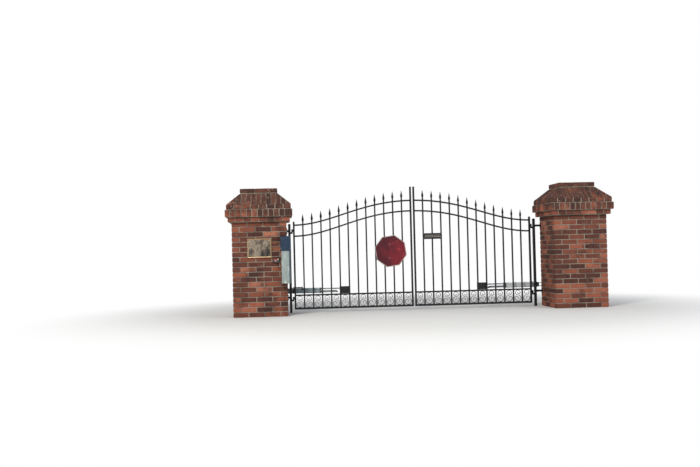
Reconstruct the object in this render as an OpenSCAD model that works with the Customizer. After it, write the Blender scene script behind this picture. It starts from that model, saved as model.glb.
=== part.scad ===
// Wrought iron driveway gate: two arched leaves of through pickets with spear points
// and a scroll band, hung on slim steel posts between two capped brick piers, each
// leaf driven by an electric ram on the drive's inner side.
// Millimetres. The origin is the middle of the left pier's base at ground level,
// +X runs to the right pier, +Y to the inner side, +Z up.

/* [Leaves] */
// Distance from one picket to the next
picket_pitch = 130; // [110:1:150]
// Bays in one leaf, from the hinge stile to the meeting stile
bays = 13; // [9:1:15]
// Gap between the two meeting stiles
meeting_gap = 22; // [15:1:30]
// Width of the stiles, seen from the front
stile_w = 25; // [20:1:32]
// Depth of the stiles and rails, from front to back
frame_d = 32; // [28:1:34]
// Side of the square pickets
picket_side = 20; // [14:1:22]
// Height of the bottom rail's middle above the ground
bottom_rail_z = 60; // [45:1:120]
// Height of the bottom rail's section
bottom_rail_h = 28; // [22:1:36]
// Height of the other rails' sections
rail_h = 22; // [18:1:28]
// From the bottom rail's middle up to the lower rail's middle
scroll_band_h = 189; // [170:1:200]
// Height of the lower arched rail at the hinge stiles
lower_arch_z = 1095; // [900:5:1150]
// Height of the upper arched rail at the hinge stiles
upper_arch_z = 1253; // [1230:1:1500]
// Rise of the lower arched rail to the middle of the gate
lower_arch_rise = 329; // [150:1:350]
// Rise of the upper arched rail to the middle of the gate
upper_arch_rise = 322; // [150:1:350]
// Height of the meeting stiles above the upper rail's highest place
meeting_stile_over = 198; // [150:1:260]
// Height of the hinge stile above the upper rail's end
hinge_stile_over = 50; // [20:1:100]
// Clearance of a picket in a punched hole
punch_clearance = 0.25; // [0.1:0.05:0.5]

/* [Spear points] */
// Length of a spear point, from its collar to its tip
spear_h = 133; // [90:1:160]
// Width of a spear point across its edges
spear_w = 34; // [24:1:44]
// Height of the widest place above the collar's foot
spear_belly_z = 48; // [30:1:60]
// Side of the collar under a spear point
collar_side = 24; // [22:1:30]
// Height of the collar
collar_h = 6; // [4:1:12]
// From the upper rail's middle up to the collar's foot
spear_foot_over_rail = 24; // [20:1:60]

/* [Scrolls] */
// Thickness of the scroll bar
scroll_t = 6; // [4:0.5:8]
// Depth of the scroll bar, from front to back
scroll_d = 12; // [8:1:18]
// Share of the scroll's height that the large lower curl takes
lower_curl_share = 0.57; // [0.5:0.01:0.6]
// Radius of an inner curl as a share of its outer one
inner_curl_share = 0.56; // [0.45:0.01:0.65]
// Clearance between a scroll and the rails that hold it
scroll_seat = 0.2; // [0.1:0.1:0.4]

/* [Posts and hinges] */
// Side of the square hinge posts
post_side = 35; // [30:1:50]
// Top of the hinge posts above the ground
post_top = 1265; // [1200:5:1600]
// Gap between the left post and its pier, which the lugs fill
left_post_gap = 22; // [10:1:60]
// Gap between the right post and its pier, which the lugs fill
right_post_gap = 84; // [60:1:110]
// Foot of the lower fixing lug
lower_lug_z = 205; // [150:5:260]
// Foot of the upper fixing lug
upper_lug_z = 1154; // [900:1:1160]
// Height of a fixing lug
lug_h = 30; // [20:1:60]
// Depth of a fixing lug, from front to back
lug_d = 28; // [20:1:34]
// Radius of a hinge pin
pin_r = 6; // [5:0.5:7]
// Running clearance of a pin in its bore
pin_clearance = 0.08; // [0.04:0.01:0.1]
// Wall of a hinge knuckle round its bore
knuckle_wall = 6; // [5.5:0.5:7]
// Height of a hinge knuckle
knuckle_h = 36; // [28:1:50]
// Distance from the hinge axis to the post's face
pin_to_post = 22; // [22:1:32]
// Height of the lower hinge's bearing face
lower_hinge_z = 190; // [160:5:230]
// Height of the upper hinge's bearing face
upper_hinge_z = 1156; // [900:1:1160]
// Height of the arm that carries a hinge pin
hinge_arm_h = 26; // [18:1:36]
// How much wider the arm's round end is than the pin
hinge_arm_over = 1; // [0.5:0.5:1.5]
// Clearance under a knuckle, on its arm
bearing_clearance = 0.3; // [0.1:0.1:0.6]

/* [Operators] */
// Height of the operators' axes above the ground
operator_z = 308; // [300:1:360]
// Rear pivot, outwards from the hinge axis
rear_pivot_out = 120; // [112:1:124]
// Rear pivot, inwards from the hinge axis
rear_pivot_in = 130; // [126:1:140]
// Front pivot, inwards from the leaf's middle plane
front_pivot_in = 95; // [90:1:105]
// Picket, counted from the hinge stile, after which the front bracket sits
bracket_bay = 5; // [4:1:6]
// Width of the operator's housing
housing_w = 80; // [70:1:84]
// Height of the operator's housing
housing_h = 78; // [72:1:90]
// Corner radius of the housing
housing_corner = 14; // [8:1:20]
// From the rear pivot to the housing's back
housing_start = 22; // [22:1:40]
// From the rear pivot to the housing's front
housing_end = 520; // [500:5:535]
// Radius of the operator's rod
rod_r = 10; // [8:0.5:11]
// Clearance of the rod in its housing
rod_clearance = 0.5; // [0.3:0.1:1]
// Travel of the rod as the leaf opens
rod_travel = 255; // [252:1:270]
// Length of the rod that stays in the housing
rod_inside = 30; // [20:1:40]
// Length of the rod's flat end, up to the eye's middle
rod_flat = 36; // [30:1:40]
// Radius of the rod's eye
eye_r = 15; // [12:1:15]
// Height of the rod's eye
eye_t = 24; // [20:1:26]
// Distance between the rod and the guide bar under it
bar_spacing = 46; // [44:1:50]
// Radius of the guide bar
guide_r = 9; // [7:0.5:10]
// Length of the guide bar in front of the housing
guide_len = 240; // [100:5:250]
// Radius of the housing's rear lug
rear_lug_r = 13; // [11:1:15]
// Height of the housing's rear lug
rear_lug_t = 34; // [28:1:40]
// Radius of the ears round both pivots
ear_r = 16; // [13:1:16]
// Clearance between an ear and the lug or eye in it
ear_clearance = 1; // [0.5:0.5:2]
// Thickness of a bracket plate
plate_t = 8; // [6:1:10]
// Height of the bracket's plate on the leaf
bracket_h = 100; // [96:1:130]
// How far the bracket's plate reaches over its two pickets
bracket_over = 12; // [10:1:30]
// Gap between the bracket's plate and the lower rail
bracket_seat = 1.5; // [1:0.5:4]
// Width of the mount's plate on the pier
mount_w = 90; // [60:5:140]
// From the pier's edge to the mount's plate
mount_edge = 6; // [4:1:30]
// How far the mount's plate reaches over its ears, above and below
mount_over = 16; // [4:1:40]
// Radius of the conduit on the left operator
conduit_r = 7; // [5:1:8]
// Radius of the conduit's elbows
elbow_r = 9; // [8:0.5:10]
// From the rear pivot to the conduit's rear leg
conduit_start = 128; // [110:1:150]
// Distance between the conduit's legs
conduit_w = 122; // [80:1:160]
// Height of the conduit's top over the operator's axis
conduit_top = 50; // [48:1:60]
// Height of the conduit's ends over and under the operator's axis
conduit_end = 25; // [12:1:26]
// Gap between the conduit and the housing's side
conduit_gap = 3; // [2:1:6]

/* [Piers] */
// Side of the square brick piers
pier_side = 746; // [650:1:900]
// Courses in a pier's shaft
shaft_courses = 19; // [18:1:24]
// Height of a brick course with its joint
course_h = 68; // [64:1:76]
// Height of the band of bricks on edge
band_h = 102; // [90:1:120]
// Overhang of the corbel course
corbel_over = 48; // [20:1:60]
// Overhang of the band of bricks on edge
band_over = 82; // [50:1:110]
// Overhang of the course over the band
header_over = 64; // [40:1:90]
// Height of the cap's slope
slope_h = 158; // [80:1:200]
// Side of the cap's flat top
cap_top_side = 512; // [300:1:560]
// How far the piers' backs lie behind the gate's middle plane
pier_back = 50; // [50:1:60]

/* [Fittings] */
// Size of the octagonal sign across its flats
sign_across = 440; // [300:5:480]
// Thickness of the sign
sign_t = 3; // [2:0.5:5]
// Middle of the sign, outwards from the gate's middle
sign_x = 327; // [300:1:360]
// Height of the sign's middle
sign_z = 849; // [700:1:950]
// Turn of the sign to the left, in degrees
sign_tilt = 8; // [0:1:12]
// Height of a strap behind the sign
strap_h = 25; // [15:1:40]
// Thickness of a strap
strap_t = 4; // [3:0.5:8]
// Distance between the two straps
strap_spacing = 200; // [120:5:260]
// Radius of a strap's bolt
strap_bolt_r = 5; // [4:0.5:8]
// Width of the notice plate
notice_w = 277; // [150:1:290]
// Height of the notice plate
notice_h = 86; // [60:1:140]
// Middle of the notice plate, outwards from the gate's middle
notice_x = 286; // [260:1:300]
// Height of the notice plate's middle
notice_z = 1052; // [900:1:1120]
// Width of the plaque's frame
plaque_w = 320; // [200:1:400]
// Height of the plaque's frame
plaque_h = 256; // [160:1:320]
// Thickness of the plaque's frame
plaque_frame_t = 20; // [14:1:30]
// Thickness of the plaque
plaque_t = 12; // [6:1:13]
// Width of the border that frames the plaque
plaque_border = 15; // [8:1:25]
// Height of the plaque's middle
plaque_z = 935; // [850:5:980]
// Width of the call box
call_box_w = 94; // [60:1:110]
// Depth of the call box
call_box_d = 25; // [15:1:40]
// Height of the call box
call_box_h = 62; // [40:1:80]
// Gap between the call box and the control cabinet
call_box_gap = 26; // [15:1:90]
// Height of the call box's middle
call_box_z = 766; // [600:1:766]
// Width of the control cabinet
cabinet_w = 120; // [80:1:124]
// Depth of the control cabinet
cabinet_d = 110; // [80:1:160]
// Height of the control cabinet
cabinet_h = 446; // [300:1:500]
// Height of the control cabinet's foot
cabinet_z = 450; // [350:5:480]
// How far the cabinet stands out past the pier's inner edge
cabinet_out = 40; // [20:1:60]
// Height of the cabinet's hood
hood_h = 196; // [120:1:210]
// How far the hood stands out round the cabinet
hood_over = 12; // [6:1:14]

/* [Hidden] */
$fn = 48;

iron = "#1c1c1e";
brick = "#9a4f3a";
brick_dark = "#7c4032";
housing_paint = "#dfe3e0";
rod_steel = "#8d9296";
conduit_black = "#202024";
sign_red = "#8c1f2d";
notice_black = "#16171a";
gilt = "#b8924a";
plaque_brown = "#75685a";
call_box_grey = "#cfcfc8";
cabinet_green = "#a9b6ae";
hood_blue = "#33465a";

// How far two pieces of one body reach into each other, and how far a cut runs past
// the solid that it cuts
weld = 2;
cut_margin = 5;

// Places along the gate, measured outwards from its middle
meeting_x = meeting_gap / 2 + stile_w / 2;
stile_x = meeting_x + bays * picket_pitch;
rail_start = meeting_x + stile_w / 2;
rail_end = stile_x - stile_w / 2;
knuckle_r = pin_r + knuckle_wall;
hinge_x = stile_x + stile_w / 2 + knuckle_r;
post_face_x = hinge_x + pin_to_post;
post_x = post_face_x + post_side / 2;
post_outer_x = post_face_x + post_side;
left_pier_x = post_outer_x + left_post_gap + pier_side / 2;
right_pier_x = post_outer_x + right_post_gap + pier_side / 2;
pier_front_y = pier_back - pier_side;
pier_y = pier_back - pier_side / 2;
shaft_h = shaft_courses * course_h;

// Heights of the leaf
lower_rail_z = bottom_rail_z + scroll_band_h;
leaf_foot_z = bottom_rail_z - bottom_rail_h / 2;
picket_foot_z = bottom_rail_z + bottom_rail_h / 2;
hinge_stile_top = upper_arch_z + hinge_stile_over;
meeting_stile_top = upper_arch_z + upper_arch_rise + meeting_stile_over;
hinge_heights = [lower_hinge_z, upper_hinge_z];

// The rails' curve from 0 at the hinge stiles to 1 at the middle: a wave, a little full
arch_fullness = 0.08;
arch_steps = 2 * bays;
arch_stations = [for (k = [0 : arch_steps]) rail_start + (rail_end - rail_start) * k / arch_steps];
function arch_share(x) =
  let (turn = 180 * min(abs(x) / stile_x, 1))
  (1 + cos(turn)) / 2 + arch_fullness * pow(sin(turn), 2);
function arch_z(x, foot, rise) = foot + rise * arch_share(x);
function picket_x(i) = meeting_x + i * picket_pitch;
function picket_top(i) = arch_z(picket_x(i), upper_arch_z, upper_arch_rise) + spear_foot_over_rail;

// Everything is drawn round the gate's middle, then moved so that the origin
// comes to the middle of the left pier's base
module on_site() {
  translate([left_pier_x, -pier_y, 0]) children();
}

// Pieces are drawn on the right of the middle; side -1 mirrors them to the left
module side_of_gate(side) {
  if (side < 0)
    mirror([1, 0, 0]) children();
  else
    children();
}

module centred_block(x, y, z0, size_x, size_y, size_z) {
  translate([x - size_x / 2, y - size_y / 2, z0]) cube([size_x, size_y, size_z]);
}

// Piers, each drawn round its own middle

module pier_place(x) {
  translate([x, pier_y, 0]) children();
}

module pier_layer(over, z0, h) {
  side = pier_side + 2 * over;
  centred_block(0, 0, z0, side, side, h);
}

module pier_shaft() {
  color(brick) pier_layer(0, 0, shaft_h);
}

module pier_corbel() {
  color(brick) pier_layer(corbel_over, shaft_h, course_h);
}

module pier_band() {
  color(brick_dark) pier_layer(band_over, shaft_h + course_h, band_h);
}

module slope_profile(foot) {
  rotate([90, 0, 0])
    linear_extrude(height = foot, center = true)
      polygon([[-foot / 2, 0], [foot / 2, 0], [cap_top_side / 2, slope_h], [-cap_top_side / 2, slope_h]]);
}

module pier_cap() {
  foot_z = shaft_h + course_h + band_h;
  foot = pier_side + 2 * header_over;
  color(brick) {
    pier_layer(header_over, foot_z, course_h);
    translate([0, 0, foot_z + course_h])
      intersection() {
        slope_profile(foot);
        rotate([0, 0, 90]) slope_profile(foot);
      }
    centred_block(0, 0, foot_z + course_h + slope_h, cap_top_side, cap_top_side, course_h);
  }
}

// Posts and hinges

module hinge_post(post_gap) {
  color(iron) {
    centred_block(post_x, 0, 0, post_side, post_side, post_top);
    for (z = [lower_lug_z, upper_lug_z])
      translate([post_outer_x, -lug_d / 2, z]) cube([post_gap, lug_d, lug_h]);
  }
}

module hinge_pins() {
  arm_r = pin_r + hinge_arm_over;
  color(iron)
    for (z = hinge_heights)
      translate([hinge_x, 0, z]) {
        translate([0, 0, -hinge_arm_h]) cylinder(r = arm_r, h = hinge_arm_h);
        translate([0, -arm_r, -hinge_arm_h]) cube([pin_to_post, 2 * arm_r, hinge_arm_h]);
        cylinder(r = pin_r, h = knuckle_h + pin_r);
      }
}

module knuckles() {
  color(iron)
    for (z = hinge_heights)
      translate([hinge_x, 0, z + bearing_clearance])
        difference() {
          union() {
            cylinder(r = knuckle_r, h = knuckle_h);
            translate([-knuckle_r, -knuckle_r, 0]) cube([knuckle_r, 2 * knuckle_r, knuckle_h]);
          }
          translate([0, 0, -cut_margin])
            cylinder(r = pin_r + pin_clearance, h = knuckle_h + 2 * cut_margin);
        }
}

// Leaves

module stiles() {
  color(iron) {
    centred_block(stile_x, 0, leaf_foot_z, stile_w, frame_d, hinge_stile_top - leaf_foot_z);
    centred_block(meeting_x, 0, leaf_foot_z, stile_w, frame_d, meeting_stile_top - leaf_foot_z);
  }
}

module picket_holes() {
  hole = picket_side + 2 * punch_clearance;
  for (i = [1 : bays - 1])
    centred_block(picket_x(i), 0, picket_foot_z, hole, hole, meeting_stile_top);
}

module straight_rails() {
  color(iron) {
    translate([rail_start, -frame_d / 2, leaf_foot_z])
      cube([rail_end - rail_start, frame_d, bottom_rail_h]);
    difference() {
      translate([rail_start, -frame_d / 2, lower_rail_z - rail_h / 2])
        cube([rail_end - rail_start, frame_d, rail_h]);
      picket_holes();
    }
  }
}

module arched_bar(foot, rise) {
  lower_edge = [for (x = arch_stations) [x, arch_z(x, foot, rise) - rail_h / 2]];
  upper_edge = [for (k = [arch_steps : -1 : 0])
    [arch_stations[k], arch_z(arch_stations[k], foot, rise) + rail_h / 2]];
  rotate([90, 0, 0])
    linear_extrude(height = frame_d, center = true)
      polygon(concat(lower_edge, upper_edge));
}

module arched_rails() {
  color(iron) {
    difference() {
      arched_bar(lower_arch_z, lower_arch_rise);
      picket_holes();
    }
    difference() {
      arched_bar(upper_arch_z, upper_arch_rise);
      picket_holes();
    }
  }
}

module pickets() {
  color(iron)
    for (i = [1 : bays - 1])
      centred_block(picket_x(i), 0, picket_foot_z, picket_side, picket_side,
                    picket_top(i) - picket_foot_z);
}

// A blade of four faces: two equal outlines, crossed at right angles
module spear_outline() {
  half = spear_w / 2 / sqrt(2);
  neck = half / 2;
  rotate([90, 0, 0])
    linear_extrude(height = 2 * spear_w, center = true)
      polygon([[-neck, 0], [neck, 0], [neck, collar_h], [half, spear_belly_z],
               [0, spear_h], [-half, spear_belly_z], [-neck, collar_h]]);
}

module spear_point() {
  centred_block(0, 0, 0, collar_side, collar_side, collar_h);
  intersection() {
    rotate([0, 0, 45]) spear_outline();
    rotate([0, 0, -45]) spear_outline();
  }
}

module spear_points() {
  color(iron)
    for (i = [1 : bays - 1])
      translate([picket_x(i), 0, picket_top(i)]) spear_point();
}

// Scrolls

module scroll_arc(centre_x, centre_z, r, from, to) {
  translate([centre_x, 0, centre_z])
    rotate([90, 0, 0])
      rotate([0, 0, from])
        rotate_extrude(angle = to - from)
          translate([r - scroll_t / 2, -scroll_d / 2]) square([scroll_t, scroll_d]);
}

scroll_h = lower_rail_z - rail_h / 2 - picket_foot_z - 2 * scroll_seat;
curls_sum = (scroll_h - scroll_t) / 2;
lower_curl_r = curls_sum * lower_curl_share;
upper_curl_r = curls_sum - lower_curl_r;
lower_turn_end = 360;
upper_turn_end = 180;
inner_turn = 190;

// An S of two outer curls, each wound on into a smaller one
module scroll() {
  lower_z = scroll_t / 2 + lower_curl_r;
  upper_z = lower_z + lower_curl_r + upper_curl_r;
  lower_inner_r = lower_curl_r * inner_curl_share;
  upper_inner_r = upper_curl_r * inner_curl_share;
  centred_block(0, 0, lower_z + lower_curl_r - scroll_t / 2, scroll_t, scroll_d, scroll_t);
  scroll_arc(0, lower_z, lower_curl_r, 90, lower_turn_end);
  scroll_arc((lower_curl_r - lower_inner_r) * cos(lower_turn_end),
             lower_z + (lower_curl_r - lower_inner_r) * sin(lower_turn_end),
             lower_inner_r, lower_turn_end, lower_turn_end + inner_turn);
  scroll_arc(0, upper_z, upper_curl_r, -90, upper_turn_end);
  scroll_arc((upper_curl_r - upper_inner_r) * cos(upper_turn_end),
             upper_z + (upper_curl_r - upper_inner_r) * sin(upper_turn_end),
             upper_inner_r, upper_turn_end, upper_turn_end + inner_turn);
}

module scrolls() {
  color(iron)
    for (i = [0 : bays - 1])
      translate([picket_x(i) + picket_pitch / 2, 0, picket_foot_z + scroll_seat])
        mirror([i % 2, 0, 0]) scroll();
}

// Operators. The housing lies on the line from the rear to the front pivot; the rod
// runs over that line and the guide bar under it.

front_pivot_x = stile_x - (bracket_bay + 0.5) * picket_pitch;
rear_pivot_x = hinge_x + rear_pivot_out;
operator_reach = rear_pivot_x - front_pivot_x;
operator_len = sqrt(pow(operator_reach, 2) + pow(rear_pivot_in - front_pivot_in, 2));
operator_turn = atan2(front_pivot_in - rear_pivot_in, -operator_reach);
rod_z = bar_spacing / 2;

module along_operator() {
  translate([rear_pivot_x, rear_pivot_in, operator_z]) rotate([0, 0, operator_turn]) children();
}

module rounded_rectangle(w, h, r) {
  square([w - 2 * r, h], center = true);
  square([w, h - 2 * r], center = true);
  for (x = [-1, 1], y = [-1, 1])
    translate([x * (w / 2 - r), y * (h / 2 - r)]) circle(r = r);
}

// A round bar along the operator, from one distance off the rear pivot to another
module lengthwise_bar(from, to, z, r) {
  translate([from, 0, z]) rotate([0, 90, 0]) cylinder(r = r, h = to - from);
}

module operator_housing() {
  color(housing_paint)
    along_operator()
      difference() {
        union() {
          translate([housing_start, 0, 0])
            rotate([90, 0, 90])
              linear_extrude(height = housing_end - housing_start)
                rounded_rectangle(housing_w, housing_h, housing_corner);
          translate([0, 0, -rear_lug_t / 2]) cylinder(r = rear_lug_r, h = rear_lug_t);
          translate([0, -rear_lug_r, -rear_lug_t / 2])
            cube([housing_start + weld, 2 * rear_lug_r, rear_lug_t]);
          lengthwise_bar(housing_end - weld, housing_end + guide_len, -rod_z, guide_r);
        }
        translate([0, 0, -rear_lug_t]) cylinder(r = pin_r + pin_clearance, h = 2 * rear_lug_t);
        lengthwise_bar(housing_end - rod_travel - 2 * rod_inside, housing_end + cut_margin,
                       rod_z, rod_r + rod_clearance);
      }
}

module operator_rod() {
  color(rod_steel)
    along_operator() {
      lengthwise_bar(housing_end - rod_inside, operator_len - rod_flat + weld, rod_z, rod_r);
      translate([operator_len, 0, rod_z - eye_t / 2]) cylinder(r = eye_r, h = eye_t);
      translate([operator_len - rod_flat, -rod_r, rod_z - eye_t / 2])
        cube([rod_flat, 2 * rod_r, eye_t]);
    }
}

// A loop with two elbows over the housing and two that turn into its side
module operator_conduit() {
  side_y = housing_w / 2 + conduit_gap + conduit_r;
  rear_x = conduit_start;
  front_x = conduit_start + conduit_w;
  color(conduit_black)
    along_operator()
      difference() {
        union() {
          for (corner = [[rear_x, -conduit_end], [rear_x, conduit_top],
                         [front_x, conduit_top], [front_x, conduit_end]])
            translate([corner[0], side_y, corner[1]]) sphere(r = elbow_r);
          translate([rear_x, side_y, -conduit_end]) cylinder(r = conduit_r, h = conduit_top + conduit_end);
          translate([front_x, side_y, conduit_end]) cylinder(r = conduit_r, h = conduit_top - conduit_end);
          translate([rear_x, side_y, conduit_top])
            rotate([0, 90, 0]) cylinder(r = conduit_r, h = conduit_w);
          for (stub = [[rear_x, -conduit_end], [front_x, conduit_end]])
            translate([stub[0], side_y, stub[1]])
              rotate([90, 0, 0]) cylinder(r = conduit_r, h = side_y - housing_w / 2);
        }
        translate([0, -side_y, -housing_h])
          cube([housing_end, side_y + housing_w / 2, 2 * housing_h]);
      }
}

// Two ears on a plate behind the pier, with the pin of the rear pivot through them
module operator_mount() {
  ear_gap = rear_lug_t + 2 * ear_clearance;
  plate_x = post_outer_x + right_post_gap + mount_edge;
  plate_h = ear_gap + 2 * plate_t + 2 * mount_over;
  ear_foot = pier_back + plate_t - rear_pivot_in;
  color(iron) {
    translate([plate_x, pier_back, operator_z - plate_h / 2]) cube([mount_w, plate_t, plate_h]);
    for (z = [operator_z - ear_gap / 2 - plate_t, operator_z + ear_gap / 2])
      translate([rear_pivot_x, rear_pivot_in, z]) {
        cylinder(r = ear_r, h = plate_t);
        linear_extrude(height = plate_t)
          polygon([[-ear_r, 0], [ear_r, 0], [plate_x + mount_w - rear_pivot_x, ear_foot],
                   [plate_x - rear_pivot_x, ear_foot]]);
      }
    translate([rear_pivot_x, rear_pivot_in, operator_z - ear_gap / 2 - plate_t])
      cylinder(r = pin_r, h = ear_gap + 2 * plate_t);
  }
}

module operator_bracket() {
  ear_gap = eye_t + 2 * ear_clearance;
  plate_y = picket_side / 2;
  plate_w = picket_pitch + 2 * bracket_over;
  eye_z = operator_z + rod_z;
  color(iron) {
    translate([front_pivot_x - plate_w / 2, plate_y, lower_rail_z + rail_h / 2 + bracket_seat])
      cube([plate_w, plate_t, bracket_h]);
    for (z = [eye_z - ear_gap / 2 - plate_t, eye_z + ear_gap / 2]) {
      translate([front_pivot_x, front_pivot_in, z]) cylinder(r = ear_r, h = plate_t);
      translate([front_pivot_x - ear_r, plate_y, z])
        cube([2 * ear_r, front_pivot_in - plate_y, plate_t]);
    }
  }
}

// Sign and plates, drawn where they are: the sign on the left leaf, the notice plate
// on the right one

module stop_sign() {
  octagon_r = sign_across / 2 / cos(22.5);
  color(sign_red)
    translate([-sign_x, -picket_side / 2 - sign_t, sign_z])
      rotate([-90, 0, 0])
        rotate([0, 0, 22.5 - sign_tilt])
          linear_extrude(height = sign_t) circle(r = octagon_r, $fn = 8);
}

module sign_straps() {
  strap_w = picket_pitch + 2 * picket_side;
  strap_x = -(picket_x(2) + picket_x(3)) / 2;
  color(iron)
    for (z = [sign_z - strap_spacing / 2, sign_z + strap_spacing / 2]) {
      translate([strap_x - strap_w / 2, picket_side / 2, z - strap_h / 2])
        cube([strap_w, strap_t, strap_h]);
      translate([strap_x, picket_side / 2 + strap_t, z])
        rotate([90, 0, 0]) cylinder(r = strap_bolt_r, h = picket_side + strap_t);
    }
}

module notice_plate() {
  color(notice_black)
    translate([notice_x - notice_w / 2, -picket_side / 2 - sign_t, notice_z - notice_h / 2])
      cube([notice_w, sign_t, notice_h]);
}

// Fittings on the left pier's front

module plaque_field() {
  square([plaque_w - 2 * plaque_border, plaque_h - 2 * plaque_border], center = true);
}

module plaque_place() {
  translate([-left_pier_x, pier_front_y, plaque_z]) rotate([90, 0, 0]) children();
}

module plaque_frame() {
  color(gilt)
    plaque_place()
      linear_extrude(height = plaque_frame_t)
        difference() {
          square([plaque_w, plaque_h], center = true);
          plaque_field();
        }
}

module plaque() {
  color(plaque_brown)
    plaque_place()
      linear_extrude(height = plaque_t) plaque_field();
}

cabinet_edge_x = cabinet_out + pier_side / 2 - left_pier_x;
call_box_x = cabinet_edge_x - cabinet_w - call_box_gap - call_box_w / 2;

module call_box() {
  color(call_box_grey)
    centred_block(call_box_x, pier_front_y - call_box_d / 2, call_box_z - call_box_h / 2,
                  call_box_w, call_box_d, call_box_h);
}

module control_cabinet() {
  color(cabinet_green)
    translate([cabinet_edge_x - cabinet_w, pier_front_y - cabinet_d, cabinet_z])
      cube([cabinet_w, cabinet_d, cabinet_h]);
}

module cabinet_hood() {
  color(hood_blue)
    translate([cabinet_edge_x - cabinet_w - hood_over, pier_front_y - cabinet_d - hood_over,
               cabinet_z + cabinet_h])
      cube([cabinet_w + 2 * hood_over, cabinet_d + hood_over, hood_h]);
}

on_site() pier_place(-left_pier_x) pier_shaft();  // left_pier_shaft
on_site() pier_place(-left_pier_x) pier_corbel();  // left_pier_corbel
on_site() pier_place(-left_pier_x) pier_band();  // left_pier_band
on_site() pier_place(-left_pier_x) pier_cap();  // left_pier_cap
on_site() pier_place(right_pier_x) pier_shaft();  // right_pier_shaft
on_site() pier_place(right_pier_x) pier_corbel();  // right_pier_corbel
on_site() pier_place(right_pier_x) pier_band();  // right_pier_band
on_site() pier_place(right_pier_x) pier_cap();  // right_pier_cap
on_site() plaque_frame();
on_site() plaque();
on_site() call_box();
on_site() control_cabinet();
on_site() cabinet_hood();
on_site() side_of_gate(-1) hinge_post(left_post_gap);  // left_hinge_post
on_site() side_of_gate(1) hinge_post(right_post_gap);  // right_hinge_post
on_site() side_of_gate(-1) hinge_pins();  // left_hinge_pins
on_site() side_of_gate(1) hinge_pins();  // right_hinge_pins
on_site() side_of_gate(-1) operator_mount();  // left_operator_mount
on_site() side_of_gate(1) operator_mount();  // right_operator_mount
on_site() side_of_gate(-1) stiles();  // left_stiles
on_site() side_of_gate(-1) straight_rails();  // left_straight_rails
on_site() side_of_gate(-1) arched_rails();  // left_arched_rails
on_site() side_of_gate(-1) pickets();  // left_pickets
on_site() side_of_gate(-1) spear_points();  // left_spear_points
on_site() side_of_gate(-1) scrolls();  // left_scrolls
on_site() side_of_gate(-1) knuckles();  // left_knuckles
on_site() side_of_gate(-1) operator_bracket();  // left_operator_bracket
on_site() side_of_gate(1) stiles();  // right_stiles
on_site() side_of_gate(1) straight_rails();  // right_straight_rails
on_site() side_of_gate(1) arched_rails();  // right_arched_rails
on_site() side_of_gate(1) pickets();  // right_pickets
on_site() side_of_gate(1) spear_points();  // right_spear_points
on_site() side_of_gate(1) scrolls();  // right_scrolls
on_site() side_of_gate(1) knuckles();  // right_knuckles
on_site() side_of_gate(1) operator_bracket();  // right_operator_bracket
on_site() stop_sign();
on_site() sign_straps();
on_site() notice_plate();
on_site() side_of_gate(-1) operator_housing();  // left_operator_housing
on_site() side_of_gate(-1) operator_rod();  // left_operator_rod
on_site() side_of_gate(-1) operator_conduit();  // left_operator_conduit
on_site() side_of_gate(1) operator_housing();  // right_operator_housing
on_site() side_of_gate(1) operator_rod();  // right_operator_rod
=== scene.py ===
# %% [markdown]
# # A wrought iron driveway gate
# Two arched leaves of black iron hang between two brick piers. The packed model brings
# every iron bar at its real size, so this lesson adds what only a close look shows:
# bricks laid one by one, mortar, paint, rust, bolts, welds, plates and small fittings.

# %% Load the frame
import math
import random

import bmesh
import bpy
from mathutils import Matrix, Vector


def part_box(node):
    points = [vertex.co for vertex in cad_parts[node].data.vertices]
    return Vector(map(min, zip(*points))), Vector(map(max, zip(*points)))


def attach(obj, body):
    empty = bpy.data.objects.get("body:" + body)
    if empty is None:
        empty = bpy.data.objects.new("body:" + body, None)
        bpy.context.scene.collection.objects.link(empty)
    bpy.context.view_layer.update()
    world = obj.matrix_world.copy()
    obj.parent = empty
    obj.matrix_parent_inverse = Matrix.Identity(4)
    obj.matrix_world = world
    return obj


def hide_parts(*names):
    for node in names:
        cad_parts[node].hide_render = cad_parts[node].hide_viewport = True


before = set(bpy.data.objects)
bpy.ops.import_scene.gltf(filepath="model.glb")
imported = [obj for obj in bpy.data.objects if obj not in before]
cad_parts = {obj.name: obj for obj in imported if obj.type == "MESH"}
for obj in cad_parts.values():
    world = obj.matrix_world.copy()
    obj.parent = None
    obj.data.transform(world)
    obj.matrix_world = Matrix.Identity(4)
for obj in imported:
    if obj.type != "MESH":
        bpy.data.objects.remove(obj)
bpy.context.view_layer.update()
scene = bpy.context.scene
MM = 0.001
SIDES = (("left", -1), ("right", 1))
print("packed nodes:", len(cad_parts))

# %% [markdown]
# The camera stands where the photographer stood: 13 m in front of the gate, nearly 2 m left
# of its middle and only 0.9 m above its foot, so it looks slightly up. Its place and turn
# were fitted to the pickets and rails. The focal length in pixels becomes a lens length
# through the width of the sensor, and a small roll tips the picture as in the photograph.

# %% Camera
PHOTO_WIDTH = 700
FOCAL_PX = 930.8
CAMERA_PLACE = Vector((0.340, -13.031, 0.890))
CAMERA_YAW = 0.0704
CAMERA_PITCH = 0.0169
CAMERA_ROLL = -0.0246

camera_data = bpy.data.cameras.new("roadside_camera")
camera_data.sensor_fit = "HORIZONTAL"
camera_data.sensor_width = 36.0
camera_data.lens = FOCAL_PX / PHOTO_WIDTH * camera_data.sensor_width
camera = bpy.data.objects.new("roadside_camera", camera_data)
turn = (Matrix.Rotation(-CAMERA_YAW, 4, "Z") @ Matrix.Rotation(math.pi / 2 + CAMERA_PITCH, 4, "X")
        @ Matrix.Rotation(CAMERA_ROLL, 4, "Z"))
camera.matrix_world = Matrix.Translation(CAMERA_PLACE) @ turn
scene.collection.objects.link(camera)
scene.camera = camera
print("lens", round(camera_data.lens, 2), "mm")
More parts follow.
